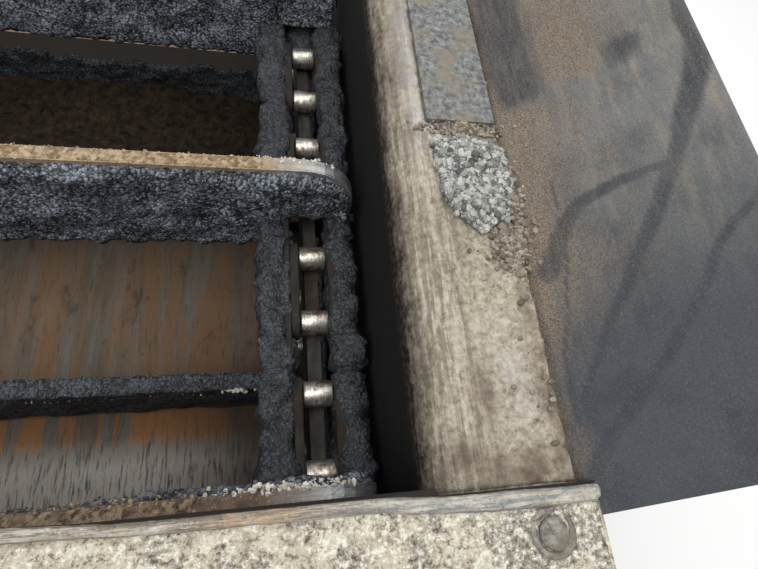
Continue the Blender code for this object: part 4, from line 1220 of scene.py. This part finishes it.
def makeStrip(look):
    low, top = wiperBox[0].z, coverBox[1].z
    front, back = wiperBox[1].y - look["sheetInset"], wiperBox[0].y
    half = wiperBox[1].x
    x = np.arange(-half, half + look["step"] / 2, look["step"])
    inTrough = np.abs(x) < wallX - 0.003
    floorZ = np.where(inTrough, low, flangeZ + 0.0006)
    line = np.stack([x, x * 0, x * 0], axis=-1)
    away, past, wide = np.array(look["places"]).T
    lip = back + np.interp(np.abs(x), away, past) + look["wave"] * layeredNoise(line, 0.05, 611, 3)
    front = np.where(inTrough, front, coverBox[1].y + look["sheetPast"])
    back = np.where(inTrough, back, front - look["sheetThick"])
    sheetTop = top + np.where(inTrough, -0.0010, look["sheetRise"])
    rise = look["height"] + look["rise"] * layeredNoise(line, 0.05, 617, 3)
    end = np.clip((half - np.abs(x)) / look["endRound"], 0, 1)
    rounded = np.sqrt(1 - (1 - end) ** 2)
    width = np.interp(np.abs(x), away, wide) * (0.55 + 0.45 * rounded)
    rise = rise * (0.55 + 0.45 * rounded)
    # up the sheet's front, over the lip from its front to its back, and down the sheet's back
    lipShares = [(-0.06, 0.12), (0.02, 0.55), (0.10, 0.84), (0.26, 0.99), (0.45, 1.0), (0.64, 0.96), (0.83, 0.78),
                 (0.95, 0.42), (1.0, 0.02)]
    rows = [(front, floorZ), (front, (floorZ + top) / 2), (front, sheetTop),
            ((front + back) / 2, np.maximum(sheetTop, top + 0.0004))]
    rows += [(lip - width * across, top + rise * up) for across, up in lipShares]
    rows += [(back, x * 0 + top - 0.0012), (back, (floorZ + top) / 2), (back, floorZ)]
    spot = np.stack([np.stack([x, y, z], axis=-1) for y, z in rows], axis=1)
    onLip = np.zeros(len(rows))
    onLip[5:4 + len(lipShares)] = 1
    fine = layeredNoise(spot, 0.005, 619, 4, 0.65)
    ridges = layeredNoise(spot * np.array([0.14, 1, 1]), 0.0036, 623, 2)
    spot[..., 2] += (0.0005 * fine + look["ridge"] * ridges) * onLip
    spot[..., 1] += 0.0004 * fine * onLip
    faces = tubeFaces(len(x), len(rows))
    centre = np.array([0, (wiperBox[0].y + wiperBox[1].y) / 2, (low + top) / 2])
    piece = newPiece("pale_strip", spot, facing(spot, faces, centre), stripLook, slot="grey_rubber")
    addMask(piece, "sheet", np.broadcast_to(1 - onLip, fine.shape))
    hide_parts("cover_wiper")


makeStrip(strip)

# carriage bolts in the cover, each on a broken ring
coverBolts = {
    "x": 0.4448,
    "firstY": -0.2134,
    "lastMargin": 0.030,
    "count": 4,
    "head": 0.0088,
    "dome": 0.0020,
    "ring": 0.0140,
    "ringThickness": 0.0021,
    "sides": 32,
}


def makeRoughSteel(name, tone, rust, pale, share=0.5, patch=0.03, soft=0.10):
    material, tree, shader = newLook(name, roughness=0.85, specular=0.3)
    mottle = noiseOf(tree, 0.006, 6, 0.7)
    broad = noiseOf(tree, patch, 5, 0.65)
    colour = mixOf(tree, spanOf(tree, mottle, 0.4, 0.66), tone, pale)
    colour = mixOf(tree, spanOf(tree, broad, 1 - share - 0.04, 1 - share + soft, 0, 0.85), colour, rust)
    feed(tree, shader.inputs["Base Color"], colour)
    bump = bumpOf(tree, mottle, 0.0006)
    feed(tree, shader.inputs["Normal"], bumpOf(tree, noiseOf(tree, 0.0012, 3, 0.7), 0.0003, bump))
    return material


boltLook = makeRoughSteel("dustyBolt", (0.10, 0.092, 0.080), (0.15, 0.125, 0.095), (0.32, 0.295, 0.25))


def roundSolid(profile, sides, seed, rough):  # (height, radius) pairs turned about Z, a little uneven
    points, faces = lathe(profile, sides)
    points = points[:, [1, 2, 0]]
    return points + (rough * layeredNoise(points + seed * 0.7, 0.004, seed, 3))[:, None], faces


def makeCoverBolts(look):
    bolts = Heap()
    top = coverBox[1].z
    rows = np.linspace(look["firstY"], coverBox[0].y + look["lastMargin"], look["count"])
    for side in (-1, 1):
        for number, y in enumerate(rows):
            place = (side * look["x"], y, top)
            steps = np.linspace(0, math.pi / 2, 7)
            dome = [(-0.001, look["head"])] + [(0.0022 + look["dome"] * math.sin(turn), look["head"] * math.cos(turn) + 0.0001)
                                               for turn in steps]
            bolts.add(*roundSolid(dome, look["sides"], 631 + number, 0.00025), place)
            ring = [(-0.001, look["ring"]), (look["ringThickness"], look["ring"] - 0.0003),
                    (look["ringThickness"] + 0.0006, look["ring"] - 0.0016),
                    (look["ringThickness"] - 0.0012, look["head"] + 0.0008), (-0.001, look["head"] + 0.0004)]
            points, faces = roundSolid(ring, look["sides"], 641 + number, 0.0004)
            turn = np.arctan2(points[:, 1], points[:, 0])
            broken = np.exp(-((turn - 1.05) / 0.30) ** 2) + np.exp(-((turn - 2.6) / 0.2) ** 2)
            points[:, 2] -= 0.0028 * broken
            bolts.add(points, faces, place)
    bolts.piece("cover_bolts", boltLook, slot="dusty_steel")


makeCoverBolts(coverBolts)

# loose crumbs and stones, each a rough ball of twenty faces
def crumbShape():
    import bmesh
    ball = bmesh.new()
    bmesh.ops.create_icosphere(ball, subdivisions=1, radius=1)
    points = np.array([corner.co for corner in ball.verts])
    faces = [[corner.index for corner in face.verts] for face in ball.faces]
    ball.free()
    return points, np.array(faces)


crumbPoints, crumbFaces = crumbShape()


def scatter(name, places, sizes, look, seed, slot):  # a crumb's brightness is its own, kept as a mask
    random = np.random.default_rng(seed)
    count, corners = len(places), len(crumbPoints)
    stretch = random.uniform(0.70, 1.30, (count, 1, 3)) * np.asarray(sizes)[:, None, None]
    lumpy = random.uniform(0.80, 1.20, (count, corners, 1))
    points = crumbPoints[None] * lumpy * stretch + np.asarray(places)[:, None, :]
    faces = (crumbFaces[None] + corners * np.arange(count)[:, None, None]).reshape(-1, 3)
    piece = newPiece(name, points, faces.tolist(), look, slot=slot, smooth=False)
    addMask(piece, "shade", np.repeat(random.random(count), corners))
    return piece


def makeCrumbLook(name, dark, light, roughness=0.85):
    material, tree, shader = newLook(name, roughness=roughness, specular=0.3)
    fine = noiseOf(tree, 0.0009, 4, 0.7)
    share = sumOf(tree, maskOf(tree, "shade"), spanOf(tree, fine, 0.3, 0.7, -0.35, 0.35))
    feed(tree, shader.inputs["Base Color"], mixOf(tree, spanOf(tree, share, 0.0, 1.0), dark, light))
    feed(tree, shader.inputs["Normal"], bumpOf(tree, fine, 0.0003))
    return material


crumbLooks = {
    "grey": makeCrumbLook("greyCrumbs", (0.070, 0.070, 0.067), (0.47, 0.465, 0.430)),
    "tan": makeCrumbLook("tanCrumbs", (0.085, 0.068, 0.053), (0.33, 0.28, 0.22)),
    "sand": makeCrumbLook("sandCrumbs", (0.12, 0.072, 0.034), (0.44, 0.345, 0.225)),
    "brown": makeCrumbLook("brownCrumbs", (0.046, 0.030, 0.019), (0.32, 0.24, 0.155)),
    "black": makeCrumbLook("blackCrumbs", (0.008, 0.009, 0.011), (0.10, 0.11, 0.125), 0.55),
    "pale": makeCrumbLook("paleCrumbs", (0.28, 0.245, 0.19), (0.66, 0.63, 0.56)),
}


# the lump of asphalt left in the crease, and the debris round it
lump = {
    "outline": [(0.414, 0.069), (0.443, 0.073), (0.467, 0.065), (0.469, 0.042), (0.468, 0.012), (0.458, -0.009),
                (0.443, -0.014), (0.431, -0.011), (0.420, 0.006), (0.415, 0.034)],
    "height": 0.0095,
    "rings": 40,
    "around": 150,
    "grain": 0.0048,
    "grainDepth": 0.0022,
    "sunk": 0.001,
    "crumbs": 2000,
    "crumbSize": (0.0009, 0.0034),
}


def makeLump(look):
    outline = np.array(look["outline"])
    centre = outline.mean(axis=0)
    turns = np.arange(look["around"]) * math.tau / look["around"]
    angles = np.arctan2(outline[:, 1] - centre[1], outline[:, 0] - centre[0])
    reach = np.interp(turns, angles, np.linalg.norm(outline - centre, axis=1), period=math.tau)
    part = np.linspace(0.02, 1, look["rings"])
    wander = 1 + 0.07 * layeredNoise(np.stack([np.cos(turns), np.sin(turns), turns * 0], axis=-1), 0.35, 701, 3)
    radius = part[:, None] * (reach * wander)[None, :]
    x = centre[0] + radius * np.cos(turns)
    y = centre[1] + radius * np.sin(turns)
    spot = np.stack([x, y, np.zeros_like(x)], axis=-1)
    grain, own = grainNoise(spot, look["grain"], 709)
    fine, fineOwn = grainNoise(spot, look["grain"] * 0.45, 719)
    broad = layeredNoise(spot, 0.022, 727, 3)
    dome = np.sqrt(np.clip(1 - part ** 2.6, 0, 1))[:, None]
    height = look["height"] * dome * (1 + 0.3 * broad) + (look["grainDepth"] * (grain - 0.35 + 0.5 * (own - 0.5))
                                                        + 0.0009 * fine) * fade(dome, 0, 0.4)
    # follows the flange and climbs the rubber past the crease
    climb = np.clip(x - creaseX, 0, None) * math.tan(rubber["slope"])
    height = np.maximum(height, 0.0003)
    height = np.where((part == 1)[:, None], -look["sunk"], height)
    world = np.stack([x, y, flangeZ + climb + height], axis=-1)
    faces = tubeFaces(look["rings"], look["around"])
    below = world.reshape(-1, 3).mean(axis=0) - np.array([0, 0, 0.05])
    piece = newPiece("asphalt_lump", world, facing(world, faces, below), crumbLooks["grey"], slot="flight")
    addMask(piece, "shade", 0.15 * own)
    random = np.random.default_rng(733)
    ring = ((look["rings"] - 2) * np.sqrt(random.random(look["crumbs"]))).astype(int)
    step = random.integers(0, look["around"], look["crumbs"])
    small, large = look["crumbSize"]
    sizes = small + (large - small) * random.random(look["crumbs"]) ** 1.6
    places = world[ring, step] + random.normal(0, 0.0006, (look["crumbs"], 3))
    scatter("asphalt_lump_grains", places, sizes, crumbLooks["grey"], 739, "flight")


makeLump(lump)

debris = {
    "count": 420,
    "small": 0.0006,
    "large": 0.0030,
    "along": (-0.165, 0.30),
    # earthy lumps round the large one: middle, spread, count and sizes
    "heaps": [(0.4700, 0.004, 0.0032, 0.026, 300, 0.0010, 0.0030), (0.4590, -0.029, 0.0075, 0.009, 230, 0.0008, 0.0032),
              (0.4410, 0.079, 0.0160, 0.0034, 420, 0.0007, 0.0024)],
}


def flangeHeight(x):
    return flangeZ + np.clip(np.asarray(x) - creaseX, 0, None) * math.tan(rubber["slope"])


def makeDebris(look, side, seed):
    random = np.random.default_rng(seed)
    count = look["count"]
    y = random.uniform(*look["along"], count)
    nearLump = random.random(count) < 0.55
    y = np.where(nearLump, random.normal(0.0, 0.05, count), y)
    x = creaseX - 0.002 - np.abs(random.normal(0, 0.010, count)) * np.where(nearLump, 1.6, 1.0)
    sizes = look["small"] + (look["large"] - look["small"]) * random.random(count) ** 4
    places = np.stack([side * x, y, flangeHeight(x) + dustCrust["depth"] + sizes * 0.3], axis=-1)
    label = "right" if side > 0 else "left"
    scatter(f"crease_debris_{label}", places, sizes, crumbLooks["tan"], seed, "dusty_steel")
    for number, (middleX, middleY, spreadX, spreadY, count, small, large) in enumerate(look["heaps"]):
        x = middleX + spreadX * random.normal(0, 1, count)
        y = middleY + spreadY * random.normal(0, 1, count)
        sizes = small + (large - small) * random.random(count) ** 1.5
        height = dustCrust["depth"] + 0.0022 * random.random(count)
        places = np.stack([side * x, y, flangeHeight(x) + height], axis=-1)
        scatter(f"crease_lumps_{number + 1}_{label}", places, sizes, crumbLooks["tan"], seed + 3 + number, "dusty_steel")


makeDebris(debris, 1, 811)
makeDebris(debris, -1, 821)
print("lump and debris placed")

# crusts and crumbs on the flights
flightCrumbs = {
    # look, count, how far along the flight, and how far past its far face
    "edge": {1: ("sand", 800, 0.285, 0.0012), 2: ("sand", 1000, 0.285, 0.0012), 3: ("brown", 2400, 0.242, 0.0030)},
    "size": (0.0004, 0.0016),
    # the crust under the crumbs
    "step": 0.0013,
    "rows": 12,
    "inset": 0.0004,
    "crust": 0.0010,
    "crustLump": 0.0007,
    "crustGrain": 0.0032,
    "crustGrainDepth": 0.0017,
    "sunk": 0.0006,
    # flight, middle and spread along it, count, sizes, look, how far from the plate's middle, and height below the top
    "heaps": [
        (3, 0.305, 0.028, 170, 0.0006, 0.0022, "pale", 0.0075, 0.000),
        (3, 0.240, 0.026, 110, 0.0008, 0.0026, "black", 0.0090, 0.001),
        (6, 0.256, 0.008, 70, 0.0009, 0.0030, "pale", -0.0100, 0.108),
        (6, 0.060, 0.110, 70, 0.0005, 0.0013, "pale", -0.0105, 0.096),
        (2, 0.310, 0.024, 110, 0.0006, 0.0018, "pale", 0.0060, 0.000),
    ],
}


def onFlight(number, x, across, below):  # across runs from the near face to the far one, below is from the top edge
    shape = flightShapes[number]
    normal = -shape["normal"] if shape["normal"][0] < 0 else shape["normal"]
    past = np.clip(np.abs(x) - (shape["end"] - shape["corner"]), 0, shape["corner"])
    drop = shape["corner"] - np.sqrt(shape["corner"] ** 2 - past ** 2)
    level = shape["tall"] / 2 - below - drop
    yz = shape["middle"][None] + across[:, None] * normal[None] + level[:, None] * shape["height"][None]
    return np.concatenate([np.asarray(x)[:, None], yz], axis=1)


def makeEdgeCrust(number, kind, reach, look, seed):
    half = flightShapes[number]["thick"] / 2 - look["inset"]
    x, across = np.meshgrid(np.arange(-reach, reach, look["step"]), np.linspace(-half, half, look["rows"]))
    spot = np.stack([x, across, x * 0], axis=-1)
    grain, own = grainNoise(spot, look["crustGrain"], seed)
    height = look["crust"] + look["crustLump"] * layeredNoise(spot, 0.012, seed + 5, 3)
    height = np.maximum(height + look["crustGrainDepth"] * (grain - 0.3), 0.0003)
    toRim = np.minimum((reach - np.abs(x)) / 0.006, (half - np.abs(across)) / 0.0014)
    height = np.where(toRim < 0.15, -look["sunk"], height * np.sqrt(np.clip(toRim, 0, 1)))
    places = onFlight(number, x.ravel(), across.ravel(), -height.ravel())
    piece = newPiece(f"edge_base_{number}", places, shellFaces(*x.shape), crumbLooks[kind], slot="flight")
    addMask(piece, "shade", 0.75 * own)


def crustFlights(look):
    random = np.random.default_rng(907)
    small, large = look["size"]
    for number, (kind, count, reach, past) in look["edge"].items():
        makeEdgeCrust(number, kind, reach, look, 961 + number * 7)
        half = flightShapes[number]["thick"] / 2
        x = random.uniform(-reach, reach, count)
        across = random.uniform(-half, half + past, count)
        sizes = small + (large - small) * random.random(count) ** 2.2
        places = onFlight(number, x, across, 0.7 * np.clip(across - half, 0, None) + 0.2 * sizes)
        scatter(f"edge_crust_{number}", places, sizes, crumbLooks[kind], 911 + number, "flight")
    for place, (number, middle, spread, count, small, large, kind, away, below) in enumerate(look["heaps"]):
        x = middle + spread * random.normal(0, 1, count)
        x = np.clip(x, -0.345, 0.345)
        across = away + 0.0016 * random.normal(0, 1, count)
        sizes = small + (large - small) * random.random(count) ** 2
        places = onFlight(number, x, across, below + 0.002 * random.random(count))
        scatter(f"flight_crumbs_{place + 1}", places, sizes, crumbLooks[kind], 931 + place, "flight")


crustFlights(flightCrumbs)

# what the far lower flight has gathered in front of it on the liner, near-black: asphalt, darkened further as painted
# shade at the trough's far end
buildUp = {
    "from": 0.250,
    "height": 0.031,
    "half": 0.292,
    "columns": 130,
    "rows": 46,
    "dark": (0.006, 0.005, 0.004),
    "brown": (0.020, 0.0145, 0.0095),
    "rust": (0.038, 0.024, 0.013),
    "fleck": (0.085, 0.072, 0.057),
}


def makeBuildUpLook(look):
    material, tree, shader = newLook("darkBuildUpAndShade", roughness=0.95, specular=0.08)
    mottle = noiseOf(tree, 0.012, 7, 0.75)
    specks = noiseOf(tree, 0.0032, 5, 0.78)
    tone = rampOf(tree, mottle, [(0.38, look["dark"]), (0.50, look["brown"]), (0.64, look["rust"])])
    tone = mixOf(tree, spanOf(tree, specks, 0.60, 0.74, 0, 0.7), tone, look["fleck"])
    tone = mixOf(tree, spanOf(tree, specks, 0.46, 0.34, 0, 0.85), tone, look["dark"])
    feed(tree, shader.inputs["Base Color"], tone)
    feed(tree, shader.inputs["Normal"], bumpOf(tree, specks, 0.0012))
    return material


def makeBuildUp(look):
    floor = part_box("flight_8")[0].z
    x, y = np.meshgrid(np.linspace(-look["half"], look["half"], look["columns"]),
                       np.linspace(look["from"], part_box("flight_8")[0].y + 0.001, look["rows"]))
    along = (y - look["from"]) / (y.max() - look["from"])
    spot = np.stack([x, y, x * 0], axis=-1)
    lumpy = layeredNoise(spot, 0.06, 951, 4, 0.6)
    grain, own = grainNoise(spot, 0.006, 953)
    sides = fade(look["half"] - np.abs(x), 0.0, 0.05)
    height = look["height"] * along ** 1.8 * (0.35 + 0.65 * sides) * (1 + 0.22 * lumpy) + 0.0016 * grain * along
    rim = (along < 0.001) | (np.abs(x) > look["half"] - 0.001)
    world = np.stack([x, y, floor + np.where(rim, -0.0012, height)], axis=-1)
    newPiece("liner_build_up", world, shellFaces(*x.shape), buildUpShadedLook, slot="liner")


buildUpShadedLook = makeBuildUpLook(buildUp)
makeBuildUp(buildUp)
print("flights and liner crusted")

# liner, bare steel and the rest of the frame
liner = {
    "grey": (0.114, 0.106, 0.092),
    "brown": (0.092, 0.064, 0.040),
    "rust": (0.150, 0.078, 0.034),
    "orange": (0.230, 0.105, 0.034),
    "polish": (0.255, 0.235, 0.205),
    "dark": (0.020, 0.014, 0.009),
    # side, with sideFrom to sideNear: painted shade beside the chains
    "side": (0.030, 0.020, 0.013),
    # far, with farFrom and farTo: painted shade at the far end of the trough
    "far": (0.018, 0.012, 0.008),
    "farFrom": 0.10,
    "farTo": 0.27,
    "orangeFrom": -0.030,
    "orangeTo": -0.055,
    "rustEnd": -0.093,
    "polishFrom": -0.080,
    "polishTo": -0.118,
    "sideFrom": 0.145,
    "sideTo": 0.265,
    "sideFar": 0.03,
    "sideNear": -0.07,
}


def makeLinerLook(look):
    material, tree, shader = newLook("wornLiner", metallic=0.1, specular=0.3)
    x, y, z = axesOf(tree)
    streak = noiseOf(tree, 0.020, 7, 0.66, (1, 0.10, 1))
    fine = noiseOf(tree, 0.0030, 6, 0.7, (1, 0.10, 1))
    spots = noiseOf(tree, 0.004, 4, 0.7, (1, 0.4, 1))
    broad = noiseOf(tree, 0.034, 4, 0.55, (1, 0.10, 1))
    patch = noiseOf(tree, 0.030, 6, 0.7, (1, 0.45, 1))
    tone = mixOf(tree, spanOf(tree, streak, 0.40, 0.62), look["brown"], look["grey"])
    tone = mixOf(tree, spanOf(tree, broad, 0.46, 0.60, 0, 0.75), tone, look["rust"])
    block = sumOf(tree, spanOf(tree, broad, 0.50, 0.53), spanOf(tree, y, look["orangeFrom"], look["orangeTo"]), "MULTIPLY")
    tone = mixOf(tree, spanOf(tree, block, 0, 1, 0, 0.8), tone, look["orange"])
    tone = mixOf(tree, spanOf(tree, patch, 0.56, 0.70, 0, 0.75), tone, look["dark"])
    tone = mixOf(tree, spanOf(tree, y, look["rustEnd"] + 0.002, look["rustEnd"] - 0.002, 0, 0.75), tone, look["grey"])
    polish = sumOf(tree, spanOf(tree, y, look["polishFrom"], look["polishTo"]), spanOf(tree, fine, 0.64, 0.50), "MULTIPLY")
    tone = mixOf(tree, polish, tone, look["polish"])
    tone = mixOf(tree, spanOf(tree, fine, 0.54, 0.70, 0, 0.6), tone, look["dark"])
    # darker towards the chains beside the walls, more so towards the near end: painted shade by the chains
    side = spanOf(tree, sumOf(tree, x, 0.0, "ABSOLUTE"), look["sideFrom"], look["sideTo"], 0, 0.88)
    nearer = spanOf(tree, y, look["sideFar"], look["sideNear"], 0.30, 1)
    tone = mixOf(tree, sumOf(tree, side, nearer, "MULTIPLY"), tone, look["side"])
    # darker towards the far end: painted shade
    tone = mixOf(tree, spanOf(tree, y, look["farFrom"], look["farTo"], 0, 0.88), tone, look["far"])
    tone = mixOf(tree, spanOf(tree, spots, 0.62, 0.72, 0, 0.6), tone, look["dark"])
    tone = mixOf(tree, spanOf(tree, noiseOf(tree, 0.003, 3, 0.7), 0.67, 0.74, 0, 0.45), tone, look["grey"])
    feed(tree, shader.inputs["Base Color"], tone)
    feed(tree, shader.inputs["Roughness"], spanOf(tree, polish, 0, 1, 0.75, 0.50))
    feed(tree, shader.inputs["Normal"], bumpOf(tree, fine, 0.0004))
    return material


bareSteelLook = makeRoughSteel("barePlate", (0.074, 0.080, 0.083), (0.18, 0.154, 0.116), (0.25, 0.248, 0.228), 0.46)
machinedLook = makeWornSteelLook("machinedSteel", (0.12, 0.105, 0.09), (0.34, 0.31, 0.27), (0.16, 0.08, 0.04), 0.7)
railLook = makeWornSteelLook("railSteel", (0.015, 0.014, 0.012), (0.050, 0.046, 0.040), (0.035, 0.022, 0.013),
                             0.0, (0.65, 0.90), 0.2)
frameLook = makeRoughSteel("framePaint", dustCrust["paint"], dustCrust["paintRust"], dustCrust["palePaint"], 0.46, 0.055,
                           0.22)
castLook = makeRoughSteel("castIron", (0.055, 0.053, 0.052), (0.11, 0.062, 0.036), (0.11, 0.10, 0.09), 0.45)
nodeLooks = {
    "floor_liner": makeLinerLook(liner),
    "splice_plate_left": bareSteelLook,
    "splice_plate_right": bareSteelLook,
    "tail_shaft": machinedLook,
    "tail_sprocket_left": machinedLook,
    "tail_sprocket_right": machinedLook,
    "take_up_screw_left": machinedLook,
    "take_up_screw_right": machinedLook,
    "return_rail_left": railLook,
    "return_rail_right": railLook,
    "bearing_left": castLook,
    "bearing_right": castLook,
}
plainNodes = ["cross_channel_1", "cross_channel_2", "cross_channel_3", "end_plate", "floor_plate", "joint_flange",
              "take_up_guide_left", "take_up_guide_right", "wing_bracket_left", "wing_bracket_right", "clean_out_door"]
for name in plainNodes:
    nodeLooks[name] = frameLook
for name, look in nodeLooks.items():
    nodes[name].data.materials.clear()
    nodes[name].data.materials.append(look)
print("frame finished")
